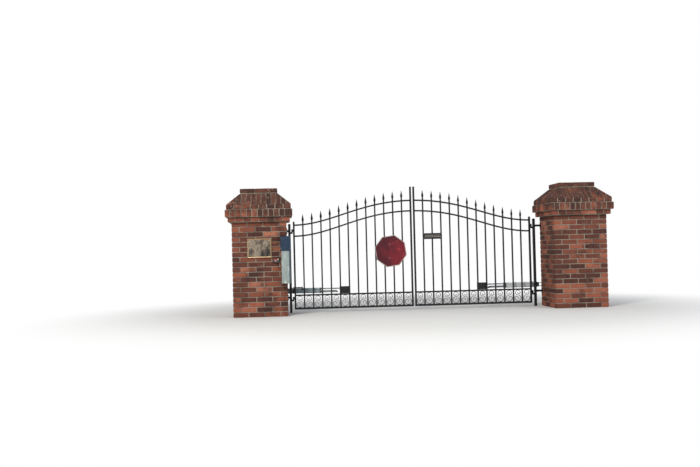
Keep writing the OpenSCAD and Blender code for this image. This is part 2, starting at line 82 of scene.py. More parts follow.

# %% [markdown]
# Every colour of the gate was judged against the photograph and is written as a
# screen colour, three numbers from 0 to 255. Blender works with linear light, so this
# function converts it.

# %% Colours
def screen_colour(red, green, blue, dim=1.0):
    """A screen colour in linear light, opaque, and dimmed by a share."""
    def linear(level):
        level = level / 255
        return level / 12.92 if level <= 0.04045 else ((level + 0.055) / 1.055) ** 2.4
    return (linear(red) * dim, linear(green) * dim, linear(blue) * dim, 1.0)


print("middle grey in linear light:", round(screen_colour(128, 128, 128)[0], 3))

# %% [markdown]
# Node maths reads best as plain arithmetic. The small class Flow wraps one socket, so that
# `1 - mask * 0.5` adds the Math nodes by itself.

# %% Node arithmetic
class Flow:
    """One value that flows between nodes."""

    def __init__(self, maker, socket):
        self.maker = maker
        self.socket = socket

    def __add__(self, other):
        return self.maker.math("ADD", self, other)

    def __radd__(self, other):
        return self.maker.math("ADD", other, self)

    def __sub__(self, other):
        return self.maker.math("SUBTRACT", self, other)

    def __rsub__(self, other):
        return self.maker.math("SUBTRACT", other, self)

    def __mul__(self, other):
        return self.maker.math("MULTIPLY", self, other)

    def __rmul__(self, other):
        return self.maker.math("MULTIPLY", other, self)

    def __truediv__(self, other):
        return self.maker.math("DIVIDE", self, other)

    def __rtruediv__(self, other):
        return self.maker.math("DIVIDE", other, self)

    def step(self, low, high):
        """0 below low, 1 above high, and a smooth ramp between."""
        return self.maker.node("ShaderNodeMapRange", {"interpolation_type": "SMOOTHSTEP"},
                               {"Value": self, "From Min": low, "From Max": high})

    def output(self, name):
        """Another output of the same node."""
        return Flow(self.maker, self.socket.node.outputs[name])


print("sums with a number on the left:", [name for name in vars(Flow) if name.startswith("__r")])

# %% [markdown]
# NodeMaker adds every node through one method, which sets the node up first and then fills
# or links its sockets. The finishes here and the Geometry Nodes further on both use it.

# %% Adding nodes
def set_stops(ramp, stops):
    """Gives a colour ramp its stops, pairs of a place and a screen colour."""
    while len(ramp.elements) < len(stops):
        ramp.elements.new(0.5)
    for element, (place, shade) in zip(ramp.elements, stops):
        element.position = place
        element.color = screen_colour(*shade)


class NodeMaker:
    """Adds nodes to one tree."""

    def __init__(self, tree):
        self.tree = tree

    def node(self, kind, settings=None, values=None, output=0):
        """Adds one node; values go to its sockets by place or by name."""
        made = self.tree.nodes.new(kind)
        for key, setting in (settings or {}).items():
            if key == "stops":
                set_stops(made.color_ramp, setting)
            else:
                setattr(made, key, setting)
        pairs = values.items() if isinstance(values, dict) else enumerate(values or [])
        for key, value in pairs:
            self.feed(made.inputs[key], value)
        return Flow(self, made.outputs[output])

    def feed(self, socket, value):
        """Links a Flow or sets a plain value; three numbers for a colour are a screen colour."""
        if isinstance(value, Flow):
            self.tree.links.new(value.socket, socket)
        elif socket.type == "RGBA" and len(value) == 3:
            socket.default_value = screen_colour(*value)
        else:
            socket.default_value = value

    def math(self, operation, *values):
        return self.node("ShaderNodeMath", {"operation": operation}, values)

    def vector_math(self, operation, *values, output=0):
        return self.node("ShaderNodeVectorMath", {"operation": operation}, values, output)


trial = NodeMaker(bpy.data.node_groups.new("trial", "ShaderNodeTree"))
darker = 1 - trial.node("ShaderNodeLightPath") * 0.5
print("1 - mask * 0.5 ends in a node set to", darker.socket.node.operation)
bpy.data.node_groups.remove(trial.tree)

# %% [markdown]
# A Finish is one material. Its noises are read at the object's own coordinates in metres,
# so a scale counts waves in a metre. Colours are mixed with a Mix node, because a Math
# node would turn them grey.

# %% Finishes
SHADER_SOCKETS = {"colour": "Base Color", "roughness": "Roughness", "metallic": "Metallic",
                  "specular": "Specular IOR Level", "normal": "Normal"}


class Finish(NodeMaker):
    """A material with the few kinds of node that real finishes need."""

    def __init__(self, name, **plain):
        self.material = bpy.data.materials.new(name)
        self.material.use_nodes = True
        super().__init__(self.material.node_tree)
        self.shader = self.tree.nodes["Principled BSDF"]
        self.set(**plain)

    def place(self):
        """The point in the object's own coordinates."""
        return self.node("ShaderNodeTexCoord", output="Object")

    def height(self):
        return self.node("ShaderNodeSeparateXYZ", None, [self.place()], output="Z")

    def noise(self, scale, detail, roughness, stretch=None, start=None):
        """Detail counts the finer waves on top, and roughness is their strength."""
        vector = start or self.place()
        if stretch:
            vector = self.vector_math("MULTIPLY", vector, stretch)
        return self.node("ShaderNodeTexNoise", None,
                         {"Vector": vector, "Scale": scale, "Detail": detail, "Roughness": roughness})

    def mix(self, share, first, second):
        """For colours the Mix node's inputs are 0, 6 and 7, and its output is 2."""
        return self.node("ShaderNodeMix", {"data_type": "RGBA"}, {0: share, 6: first, 7: second}, 2)

    def ramp(self, share, stops):
        return self.node("ShaderNodeValToRGB", {"stops": stops}, [share])

    def bump(self, height, strength, distance):
        return self.node("ShaderNodeBump", None,
                         {"Strength": strength, "Distance": distance, "Height": height})

    def set(self, **sockets):
        for key, value in sockets.items():
            self.feed(self.shader.inputs[SHADER_SOCKETS[key]], value)
        return self.material


print("a finish can set:", ", ".join(SHADER_SOCKETS))

# %% [markdown]
# ## Bricks and mortar
# Fired clay is never one colour. Each brick carries its own random number, stored on the
# mesh, and a colour ramp turns it into plum, brown, red or orange. The same number slides
# the noise, so that no pattern runs on from one brick to the next. Dark blotches and pale
# chips come more often on the cap, where a mask made from the height brings them in. The
# chips are dents, and their pale colour is painted sunlight falling through leaves.
# Mortar is lime and sand, rough and stained by damp.

# %% Brick and mortar finishes
CAP_HEIGHTS = (1.26, 1.50)
TONE_SLIDE = 9.0


def make_brick():
    clay = Finish("fired_brick", specular=0.2)
    tone = clay.node("ShaderNodeAttribute", {"attribute_name": "brick_tone"}, output="Fac")
    own = clay.vector_math("ADD", clay.place(), tone * TONE_SLIDE)
    crown = clay.height().step(*CAP_HEIGHTS)
    patches = clay.noise(13, 5, 0.6, start=own)
    grain = clay.noise(420, 3, 0.7)
    base = clay.ramp(tone * 0.80 + patches * 0.34 - 0.10, [
        (0.00, (66, 44, 40)), (0.25, (104, 62, 51)), (0.50, (130, 76, 60)),
        (0.75, (154, 90, 70)), (1.00, (182, 124, 102))])
    # Darker blotches from a large noise, a little stronger on the cap.
    dark_blotches = (clay.noise(3.4, 6, 0.62) + crown * 0.16).step(0.50, 0.66)
    blotched = clay.mix(dark_blotches * 0.75, base, (56, 44, 42))
    bloom = clay.noise(11, 6, 0.7, (1, 1, 0.6), own).step(0.60, 0.72)
    bloomed = clay.mix(bloom * 0.34, blotched, (190, 150, 138))
    # Chips: dents in the bump, coloured pale as painted patches of sunlight through leaves.
    chips_and_sun_spots = clay.noise(26, 7, 0.72, (1, 1, 1.4)).step(0.55, 0.66) * (0.08 + crown * 0.72)
    chipped_and_sunlit = clay.mix(chips_and_sun_spots * 0.75, bloomed, (186, 140, 116))
    speckled = clay.mix(grain.step(0.60, 0.72) * 0.3, chipped_and_sunlit, (66, 44, 40))
    height = grain * 0.4 + clay.noise(60, 5, 0.6) * 0.8 - chips_and_sun_spots * 1.1
    return clay.set(colour=speckled, roughness=0.94 - patches * 0.14,
                    normal=clay.bump(height, 0.6, 0.003))


def make_mortar():
    mortar = Finish("lime_mortar", roughness=0.95, specular=0.2)
    damp = mortar.noise(5, 5, 0.6).step(0.42, 0.62)
    sand = mortar.noise(700, 2, 0.6)
    stained = mortar.mix(damp * 0.8, (152, 140, 126), (98, 93, 87))
    gritty = mortar.mix(sand.step(0.55, 0.7) * 0.35, stained, (88, 80, 72))
    return mortar.set(colour=gritty, normal=mortar.bump(sand, 0.6, 0.002))


brick_clay = make_brick()
lime_mortar = make_mortar()
print("nodes of the brick finish:", len(brick_clay.node_tree.nodes))

# %% [markdown]
# ## Iron paint and zinc
# The gate is painted satin black. Long use leaves dust on it, dulls the gloss in patches
# and lets rust through low down, where rain splashes. The rust mask is a noise that only
# passes where a second mask, made from the height, lets it. The newer bolts are plain
# zinc, cloudy and a little stained.

# %% Iron and zinc finishes
SPLASH_HEIGHTS = (0.05, 0.42)


def make_iron():
    paint = Finish("black_gate_paint", specular=0.35)
    low = 1 - paint.height().step(*SPLASH_HEIGHTS)
    wear = paint.noise(9, 6, 0.65)
    spots = paint.noise(55, 6, 0.7).step(0.63, 0.70)
    rust = spots * (low * 0.85 + 0.10)
    dust = paint.noise(2.4, 4, 0.6).step(0.45, 0.75)
    black = paint.mix(dust * 0.35, (17, 18, 21), (44, 46, 50))
    rusted = paint.mix(rust, black, (104, 58, 34))
    peel = paint.noise(260, 2, 0.5)
    return paint.set(colour=rusted, roughness=0.30 + wear * 0.22 + rust * 0.35,
                     normal=paint.bump(peel * 0.25 + spots * 0.6, 0.25, 0.0015))


def make_bolt_zinc():
    zinc = Finish("dull_zinc", metallic=0.85)
    cloud = zinc.noise(180, 4, 0.6)
    stain = zinc.noise(30, 4, 0.6).step(0.58, 0.7)
    cloudy = zinc.mix(cloud, (120, 122, 122), (168, 168, 164))
    return zinc.set(colour=zinc.mix(stain * 0.6, cloudy, (110, 72, 50)), roughness=0.4 + cloud * 0.25)


iron_paint = make_iron()
bolt_zinc = make_bolt_zinc()
print("nodes of the iron paint:", len(iron_paint.node_tree.nodes))

# %% [markdown]
# ## Painted sheet, plastic and plates
# One function makes every painted sheet, because they differ only in colour, gloss and
# how far rain has streaked them. The streaks are a noise stretched along the height. A
# mottled cloud and a faint orange-peel bump keep each surface from looking drawn. Each
# line below gives a colour, the colour of its stains, how stained it is and how rough.

# %% Painted finishes
def make_paint(name, colour, stain_colour, stain, roughness, cloud_scale=22, specular=0.5):
    paint = Finish(name, specular=specular)
    runs = paint.noise(12, 6, 0.6, (8, 8, 0.7)).step(0.46, 0.74)
    cloud = paint.noise(cloud_scale, 5, 0.6)
    smears = paint.noise(30, 6, 0.7, (1, 1, 0.3)).step(0.55, 0.68)
    base = paint.mix(cloud * 0.4, colour, screen_colour(*colour, dim=0.72))
    stained = paint.mix(runs * stain * 0.6 + smears * stain * 0.5, base, stain_colour)
    peel = paint.noise(340, 2, 0.5)
    return paint.set(colour=stained, roughness=roughness + runs * 0.12,
                     normal=paint.bump(peel, 0.06, 0.001))


housing_coat = make_paint("pale_powder_coat", (234, 239, 242), (176, 184, 186), 0.25, 0.38)
# The left operator's coat is the same paint as the right one's, darker and bluer as painted shade, and
# more stained.
shaded_weathered_coat = make_paint("weathered_powder_coat", (164, 182, 190), (110, 122, 122), 0.7, 0.42)
cap_grey = make_paint("grey_end_cap", (84, 92, 94), (120, 124, 120), 0.4, 0.5)
cabinet_paint = make_paint("pale_green_paint", (146, 160, 157), (214, 221, 222), 1.3, 0.45, 9, 0.4)
# Slate strip paint: painted shade for the cabinet's side.
cabinet_shade_paint = make_paint("slate_rim_paint", (82, 98, 112), (58, 72, 84), 0.6, 0.5, 22, 0.3)
hood_paint = make_paint("slate_blue_paint", (38, 56, 78), (70, 88, 106), 0.45, 0.38, 14, 0.2)
sign_white = make_paint("sign_white", (190, 184, 176), (140, 132, 124), 0.5, 0.35)
notice_black = make_paint("notice_black", (20, 21, 25), (52, 54, 58), 0.3, 0.35, 22, 0.3)
conduit_black = make_paint("black_conduit", (24, 25, 28), (60, 62, 64), 0.3, 0.5, 22, 0.3)
bezel_pale = make_paint("pale_bezel", (226, 224, 216), (166, 160, 148), 0.3, 0.35)
bezel_dark = make_paint("dark_bezel", (62, 52, 50), (96, 84, 80), 0.4, 0.45)
window_red = make_paint("red_window", (196, 24, 30), (150, 22, 30), 0.2, 0.2)
seal_rubber = make_paint("seal_rubber", (30, 30, 31), (66, 64, 60), 0.3, 0.75)
print("finishes so far:", len(bpy.data.materials))

# %% [markdown]
# The octagonal sign is faded red sheeting with tiny beads in it. Old sheeting crazes and
# bleaches in blotches, so two noises of different size lighten it and darken it, and a
# very fine noise stands in for the beads.

# %% Sign sheeting
def make_sheeting():
    sheet = Finish("faded_sign_red", specular=0.3)
    deep = sheet.noise(3.2, 3, 0.5).step(0.40, 0.62)
    base = sheet.mix(deep, (76, 16, 29), (118, 25, 39))
    bleach = sheet.noise(12, 6, 0.65).step(0.56, 0.70)
    bleached = sheet.mix(bleach * 0.6, base, (172, 64, 68))
    crazing = sheet.noise(90, 4, 0.7).step(0.62, 0.66)
    crazed = sheet.mix(crazing * 0.35, bleached, (70, 14, 26))
    beads = sheet.noise(900, 1, 0.5)
    return sheet.set(colour=crazed, roughness=0.30 + bleach * 0.2,
                     normal=sheet.bump(beads, 0.12, 0.0006))


sign_red = make_sheeting()
print("nodes of the sheeting:", len(sign_red.node_tree.nodes))

# %% [markdown]
# Drawn rod and rolled sheet keep fine lines from the mill, so their noise is stretched:
# slow along the metal and very quick across it. Old gilding has no such lines. The plaque
# is brown bronze gone cloudy, with paler veins and small pits.

# %% Metals
MILL_LINES = (30, 600, 600)
NO_LINES = (60, 60, 60)


def make_steel(name, dark, light, stain_colour, roughness, metallic=1.0, lines=MILL_LINES):
    steel = Finish(name)
    drawn = steel.noise(1.0, 3, 0.6, lines)
    stain = steel.noise(18, 5, 0.65).step(0.56, 0.72)
    stained = steel.mix(stain * 0.5, steel.mix(drawn, dark, light), stain_colour)
    return steel.set(colour=stained, roughness=roughness + stain * 0.25,
                     metallic=metallic * (1 - stain * 0.4))


def make_plaque():
    bronze = Finish("brown_plaque", metallic=0.25)
    cloud = bronze.noise(8.5, 5, 0.55, (1, 1, 0.6))
    veins = bronze.noise(15, 8, 0.7, (1, 1, 0.35)).step(0.53, 0.6)
    base = bronze.ramp(cloud, [(0.38, (34, 30, 30)), (0.46, (88, 76, 66)),
                               (0.55, (150, 136, 118)), (0.68, (70, 60, 54))])
    pits = bronze.noise(380, 3, 0.6)
    return bronze.set(colour=bronze.mix(veins * 0.35, base, (164, 152, 138)),
                      roughness=0.34 + cloud * 0.25, normal=bronze.bump(pits, 0.12, 0.001))


rod_steel = make_steel("drawn_rod", (132, 141, 149), (182, 189, 195), (112, 98, 86), 0.42, 0.35)
bare_sheet = make_steel("bare_sheet_back", (138, 142, 144), (176, 178, 176), (110, 108, 102), 0.45)
gilt = make_steel("dull_gilt", (186, 162, 126), (238, 218, 184), (104, 84, 62), 0.4, lines=NO_LINES)
plaque_bronze = make_plaque()
print("finishes:", len(bpy.data.materials))

# %% [markdown]
# ## Helpers for pieces
# A new piece is a mesh whose numbers are already in the shared frame, so its object stays
# at the origin. `add_piece` links it, lets it ride on a CAD body and hides the nodes it
# stands for. A tree sets its own finish, so its piece brings none. `drawn_piece` does the
# same for a form drawn in a bmesh, whose faces are turned outwards first.

# %% Adding pieces
FRONT = Vector((0, -1, 0))
BACK = Vector((0, 1, 0))
UP = Vector((0, 0, 1))
DOWN = Vector((0, 0, -1))


def add_piece(name, mesh, finishes=(), body="root", replaces=()):
    piece = bpy.data.objects.new(name, mesh)
    scene.collection.objects.link(piece)
    for finish in finishes:
        mesh.materials.append(finish)
    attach(piece, body)
    if replaces:
        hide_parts(*replaces)


def mesh_from(bm, name, crisp=None):
    """A mesh with its faces outwards; with crisp, only edges over that angle stay sharp."""
    mesh = bpy.data.meshes.new(name)
    bmesh.ops.recalc_face_normals(bm, faces=bm.faces)
    bm.to_mesh(mesh)
    bm.free()
    if crisp:
        mesh.shade_smooth()
        mesh.set_sharp_from_angle(angle=math.radians(crisp))
    return mesh


def drawn_piece(name, bm, finishes, body="root", replaces=(), crisp=None):
    add_piece(name, mesh_from(bm, name, crisp), finishes, body, replaces)


def corners_of(node):
    """The lowest and the highest corner of a packed node."""
    return [Vector(corner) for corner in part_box(node)]


print("gate height:", round(corners_of("left_stiles")[1].z, 3), "m")

# %% [markdown]
# Nearly every fitting starts as a flat outline, and pressed or moulded parts have rounded
# corners. A Bevel modifier could round them later, but arcs worked out here keep the same
# number of points at every level of a solid. Real fittings are measured in millimetres, so
# sizes are written that way and `in_mm` turns a whole profile into metres.

# %% Outlines
def in_mm(pairs):
    return [(first * MM, second * MM) for first, second in pairs]


def rounded(corners, radius, steps=4):
    """A convex outline, anticlockwise, with each corner drawn as an arc."""
    points = []
    count = len(corners)
    for i in range(count):
        corner = Vector(corners[i])
        before = (Vector(corners[i - 1]) - corner).normalized()
        after = (Vector(corners[(i + 1) % count]) - corner).normalized()
        half = before.angle(after) / 2
        middle = corner + (before + after).normalized() * (radius / math.sin(half))
        first = corner + before * (radius / math.tan(half)) - middle
        last = corner + after * (radius / math.tan(half)) - middle
        sweep = first.angle_signed(last)
        for k in range(steps + 1):
            spin = Matrix.Rotation(-sweep * k / steps, 2)
            points.append(middle + spin @ first)
    return points


def rectangle(width, height, radius=0.0, middle=(0.0, 0.0), steps=4):
    x, y = middle
    corners = [(x - width / 2, y - height / 2), (x + width / 2, y - height / 2),
               (x + width / 2, y + height / 2), (x - width / 2, y + height / 2)]
    return rounded(corners, radius, steps) if radius else [Vector(c) for c in corners]


def circle(radius, sides):
    angles = [2 * math.pi * i / sides for i in range(sides)]
    return [Vector((radius * math.cos(angle), radius * math.sin(angle))) for angle in angles]


print("points of a rounded plate:", len(rectangle(0.2, 0.1, 0.01)))

# %% [markdown]
# A moulding or a pressed sheet is an outline pushed through a few levels, so `loft` makes
# plates, caps and boxes, and `ring` makes frames and pipes. They draw into a bmesh, where
# every point can be chosen, so no modifier is needed afterwards.

# %% Solids from outlines
def facing(out, place):
    """A turn whose own Z looks along out, a level direction, and whose own Y is up."""
    turned = Matrix((UP.cross(out), UP, out)).transposed().to_4x4()
    return Matrix.Translation(place) @ turned


def box(bm, low, high, bevel=0.0):
    low = Vector(low)
    high = Vector(high)
    corners = bmesh.ops.create_cube(bm, size=1.0)["verts"]
    for vert in corners:
        vert.co = Vector([low[i] + (vert.co[i] + 0.5) * (high[i] - low[i]) for i in range(3)])
    if bevel:
        edges = [edge for edge in bm.edges if edge.verts[0] in corners]
        bmesh.ops.bevel(bm, geom=edges, offset=bevel, segments=1, profile=0.5,
                        affect="EDGES", clamp_overlap=True)


def level_verts(bm, levels, place):
    rows = []
    for outline, z in levels:
        rows.append([bm.verts.new(place @ Vector((p[0], p[1], z))) for p in outline])
    return rows


def bridge(bm, first, second):
    count = len(first)
    for i in range(count):
        j = (i + 1) % count
        bm.faces.new((first[i], first[j], second[j], second[i]))


def loft(bm, levels, place):
    """A solid through outlines of equal point count, closed at both ends."""
    rows = level_verts(bm, levels, place)
    for first, second in zip(rows, rows[1:]):
        bridge(bm, first, second)
    bm.faces.new(list(reversed(rows[0])))
    bm.faces.new(rows[-1])


def ring(bm, levels, place):
    """A frame: the outlines run up the outside, over the top and down the inside."""
    rows = level_verts(bm, levels, place)
    for first, second in zip(rows, rows[1:] + rows[:1]):
        bridge(bm, first, second)


bm = bmesh.new()
loft(bm, [(rectangle(1, 1, 0.1), 0.0), (rectangle(1, 1, 0.1), 1.0)], Matrix.Identity(4))
print("faces of a bar with rounded corners:", len(bm.faces))
bm.free()

# %% [markdown]
# Two shapes come up again and again. A collar, a gland or a dome is turned on a lathe, so
# it is a stack of circles. A cut sheet is a stack of rectangles, with rounded corners and
# a softened front edge.

# %% Lathe and plate
def lathe(bm, profile, place, sides=24, hollow=False):
    """Turns (radius, height) pairs into a round solid, or a ring when hollow."""
    draw = ring if hollow else loft
    draw(bm, [(circle(radius, sides), z) for radius, z in profile], place)


def plate(bm, width, height, corner, thick, edge, place):
    """A plate with rounded corners and a softened front edge."""
    levels = [(0.0, 0.0), (0.0, thick - edge), (edge * 0.3, thick - edge * 0.3), (edge, thick)]
    loft(bm, [(rectangle(width - 2 * inset, height - 2 * inset, corner), z)
              for inset, z in levels], place)


bm = bmesh.new()
plate(bm, 100 * MM, 50 * MM, 5 * MM, 3 * MM, 1 * MM, Matrix.Identity(4))
print("faces of a plate:", len(bm.faces))
bm.free()

# %% [markdown]
# ## Laying bricks with Geometry Nodes
# A mason builds a square pier in rings. In each ring, every side starts with a brick at
# its left corner and ends against the next side's first brick, so the corners interlock.
# The next ring runs the other way round, which keeps the joints from lining up. A Python
# loop could place the bricks too, but a node tree does it faster and keeps its sizes as
# named inputs. First comes what every tree in this lesson shares.

# %% Geometry node trees
class Graph(NodeMaker):
    """A Geometry Nodes tree; given holds a Flow for each of its named inputs."""

    def __init__(self, name, inputs):
        super().__init__(bpy.data.node_groups.new(name, "GeometryNodeTree"))
        for label, (kind, value) in inputs.items():
            socket = self.tree.interface.new_socket(label, in_out="INPUT",
                                                    socket_type="NodeSocket" + kind)
            if value is not None:
                socket.default_value = value
        self.tree.interface.new_socket("Geometry", in_out="OUTPUT",
                                       socket_type="NodeSocketGeometry")
        entry = self.tree.nodes.new("NodeGroupInput")
        self.given = {label: Flow(self, entry.outputs[label]) for label in inputs}

    def whole(self, value):
        return self.math("FLOOR", value)

    def random_number(self, low, high, seed):
        """One number a copy; inputs 2 and 3 are the node's Min and Max for plain numbers."""
        return self.node("FunctionNodeRandomValue", {"data_type": "FLOAT"},
                         {2: low, 3: high, "Seed": seed}, output=1)

    def copies(self, points, block, turns=None):
        """A copy of the block's mesh on every point; turns may hold Rotation and Scale."""
        shape = self.node("GeometryNodeObjectInfo", None, {"Object": block}, output="Geometry")
        return self.node("GeometryNodeInstanceOnPoints", None,
                         {"Points": points, "Instance": shape, **(turns or {})})

    def realize(self, copies):
        return self.node("GeometryNodeRealizeInstances", None, [copies])

    def finish(self, geometry, material):
        painted = self.node("GeometryNodeSetMaterial", None,
                            {"Geometry": geometry, "Material": material})
        out = self.tree.nodes.new("NodeGroupOutput")
        self.feed(out.inputs[0], painted)
        return self.tree


print("trees before the first:", len(bpy.data.node_groups))

# %% [markdown]
# The ring tree needs nothing but the point's index: it works out ring, side and brick,
# places a copy of one brick there, turns it with its side and mirrors its place on every
# second ring. The half that is added to the index keeps the divisions off whole numbers,
# where rounding could slip. A fixed seed gives each brick its tone and its tilt, and a
# noise moves its points a little, as firing and weather do.

# %% Brick ring tree
LAYING_TILT = Vector((0.006, 0.006, 0.004))
TONE_SEED_STEP = 7.0
WEAR_SCALE = 34.0


def brick_ring_tree():
    graph = Graph("brick_rings", {
        "Brick": ("Object", None), "Rings": ("Int", 1), "Bricks per Side": ("Int", 3),
        "Side": ("Float", 0.746), "Brick Length": ("Float", 0.203),
        "Brick Depth": ("Float", 0.098), "Ring Height": ("Float", 0.068),
        "Centre": ("Vector", (0.0, 0.0, 0.0)), "Unevenness": ("Float", 0.0024),
        "Seed": ("Int", 1), "Finish": ("Material", None)})
    given = graph.given
    per_side = given["Bricks per Side"]
    per_ring = per_side * 4.0
    points = graph.node("GeometryNodeMeshLine", None, {"Count": per_ring * given["Rings"]})
    index = graph.node("GeometryNodeInputIndex") + 0.5
    ring_number = graph.whole(index / per_ring)
    in_ring = index - ring_number * per_ring
    side = graph.whole(in_ring / per_side)
    in_side = graph.whole(in_ring - side * per_side)

    half_side = given["Side"] / 2.0
    pitch = (given["Side"] - given["Brick Depth"]) / per_side
    along = given["Brick Length"] / 2.0 - half_side + in_side * pitch
    inward = given["Brick Depth"] / 2.0 - half_side
    flip = 1.0 - graph.math("MODULO", ring_number, 2.0) * 2.0
    height = (ring_number + 0.5) * given["Ring Height"]
    flat = graph.node("ShaderNodeCombineXYZ", None, [along * flip, inward, height])
    quarter = side * (math.pi / 2)
    turned = graph.node("ShaderNodeVectorRotate", {"rotation_type": "Z_AXIS"},
                        {"Vector": flat, "Angle": quarter})
    place = graph.vector_math("ADD", turned, given["Centre"])
    laid = graph.node("GeometryNodeSetPosition", None, {"Geometry": points, "Position": place})

    tilt = graph.node("FunctionNodeRandomValue", {"data_type": "FLOAT_VECTOR"},
                      {"Min": -LAYING_TILT, "Max": LAYING_TILT, "Seed": given["Seed"]})
    turn_z = graph.node("ShaderNodeCombineXYZ", None, [0.0, 0.0, quarter])
    bricks = graph.copies(laid, given["Brick"], {"Rotation": graph.vector_math("ADD", turn_z, tilt)})
    tone = graph.random_number(0.0, 1.0, given["Seed"] + TONE_SEED_STEP)
    toned = graph.node("GeometryNodeStoreNamedAttribute",
                       {"data_type": "FLOAT", "domain": "INSTANCE"},
                       {"Geometry": bricks, "Name": "brick_tone", "Value": tone})
    rough = graph.node("ShaderNodeTexNoise", None,
                       {"Vector": graph.node("GeometryNodeInputPosition"),
                        "Scale": WEAR_SCALE, "Detail": 2.0}, output="Color")
    centred = graph.vector_math("SUBTRACT", rough, (0.5, 0.5, 0.5))
    offset = graph.vector_math("MULTIPLY", centred, given["Unevenness"])
    worn = graph.node("GeometryNodeSetPosition", None,
                      {"Geometry": graph.realize(toned), "Offset": offset})
    return graph.finish(worn, given["Finish"])


brick_rings = brick_ring_tree()
print("brick tree nodes:", len(brick_rings.nodes))

# %% [markdown]
# A modifier's inputs are named by their sockets' identifiers, so a small function looks
# them up, evaluates the tree and hands back a plain mesh. What a tree copies is a block:
# an object that is there only while the tree runs.

# %% Running a tree
def run_tree(tree, name, host_mesh=None, **inputs):
    host = bpy.data.objects.new(name + "_host", host_mesh or bpy.data.meshes.new(name + "_host"))
    scene.collection.objects.link(host)
    nodes = host.modifiers.new("nodes", "NODES")
    nodes.node_group = tree
    by_name = {item.name: item.identifier for item in tree.interface.items_tree
               if item.in_out == "INPUT"}
    for key, value in inputs.items():
        nodes[by_name[key.replace("_", " ")]] = value
    evaluated = host.evaluated_get(bpy.context.evaluated_depsgraph_get())
    mesh = bpy.data.meshes.new_from_object(evaluated)
    mesh.name = name
    bpy.data.objects.remove(host)
    return mesh


def link_block(name, bm, crisp=None):
    block = bpy.data.objects.new(name, mesh_from(bm, name, crisp))
    scene.collection.objects.link(block)
    return block


print("trees so far:", len(bpy.data.node_groups))

# %% [markdown]
# ## The piers
# Each pier is 19 rings of stretchers, a corbel ring of headers, a ring of bricks on edge
# and the cap: a ring of headers, a slope and a small top. A picture of brickwork on a flat
# face would look thin from the side, so every brick here is a solid of its own. What is
# added after a bevel is stored in a chance order, so `put_in_order` gives a bevelled brick
# the same order in every run.

# %% Bricks
SORT_DIGITS = 5
JOINT = 10 * MM
COURSE = 68 * MM
BRICK_WIDTH = 98 * MM
BRICK_HEIGHT = COURSE - JOINT
ARRIS = 5 * MM
STRETCHER = (203 * MM, BRICK_WIDTH, BRICK_HEIGHT)
HEADER = (BRICK_WIDTH, BRICK_WIDTH, BRICK_HEIGHT)
ON_EDGE = (63 * MM, BRICK_WIDTH, 94 * MM)
JOINT_DEPTH = 7 * MM
SLACK = 1.5 * MM


def put_in_order(bm):
    """Numbers the points and the faces by their places, and bmesh sorts them by number."""
    for parts, middle in ((bm.verts, lambda vert: vert.co),
                          (bm.faces, lambda face: face.calc_center_median())):
        placed = sorted(parts, key=lambda part: [round(value, SORT_DIGITS)
                                                 for value in middle(part)])
        for number, part in enumerate(placed):
            part.index = number
        parts.sort()


def brick_block(size):
    """One brick: a box with worn arrises, cut twice across its length."""
    bm = bmesh.new()
    half = Vector(size) / 2
    box(bm, -half, half, ARRIS)
    long_edges = [edge for edge in bm.edges
                  if abs(edge.verts[0].co.x - edge.verts[1].co.x) > half.x]
    bmesh.ops.subdivide_edges(bm, edges=long_edges, cuts=2, use_grid_fill=True)
    put_in_order(bm)
    return link_block("brick_block", bm)


def lay_rings(name, node, low_z, side, ring_height, rings, per_side, brick, seed):
    """Lays whole rings of one brick size; brick is its (length, depth, height)."""
    low, high = corners_of(node)
    block = brick_block(brick)
    mesh = run_tree(brick_rings, name, Brick=block, Rings=rings, Bricks_per_Side=per_side,
                    Side=side - 2 * SLACK, Brick_Length=brick[0], Brick_Depth=brick[1],
                    Ring_Height=ring_height,
                    Centre=((low.x + high.x) / 2, (low.y + high.y) / 2, low_z),
                    Seed=seed, Finish=brick_clay)
    bpy.data.objects.remove(block)
    add_piece(name, mesh, replaces=[node])
    return len(mesh.polygons)


print("stretcher:", [round(size / MM) for size in STRETCHER], "mm")

# %% [markdown]
# The packed pier says where each layer begins and ends, and its rings are spread evenly
# between those heights. The mortar is one core that lies a few millimetres behind the
# bricks' faces, as raked joints do. Mortar drawn joint by joint would look the same and
# cost many more faces.

# %% Shaft, corbel and band
def lay_layer(side_name, layer, seed, rings, per_side, brick):
    """A CAD layer of the pier becomes rings of bricks round a mortar core."""
    node = side_name + "_pier_" + layer
    name = side_name + "_" + layer
    low, high = corners_of(node)
    faces = lay_rings(name + "_bricks", node, low.z, high.x - low.x, (high.z - low.z) / rings,
                      rings, per_side, brick, seed)
    bm = bmesh.new()
    inset = Vector((JOINT_DEPTH, JOINT_DEPTH, 0.0))
    box(bm, low + inset, high - inset)
    drawn_piece(name + "_mortar", bm, [lime_mortar], replaces=[node])
    print(name, "brick faces:", faces)


for side_name, seed in (("left", 11), ("right", 47)):
    lay_layer(side_name, "shaft", seed, rings=19, per_side=3, brick=STRETCHER)
    lay_layer(side_name, "corbel", seed + 1, rings=1, per_side=7, brick=HEADER)
    lay_layer(side_name, "band", seed + 2, rings=1, per_side=11, brick=ON_EDGE)

# %% [markdown]
# ## The sloped cap
# The slope is a skirt of bricks on edge that run uphill. At the hips they are cut along
# the mitre, which a ring of equal copies can't do, so each brick's outline is cut here:
# between its two joints, under the hip lines, and down to the eaves. Rain and frost have
# eaten their faces, so each brick is cut into a small grid whose points sink by chance,
# and its rim sinks more than its middle.

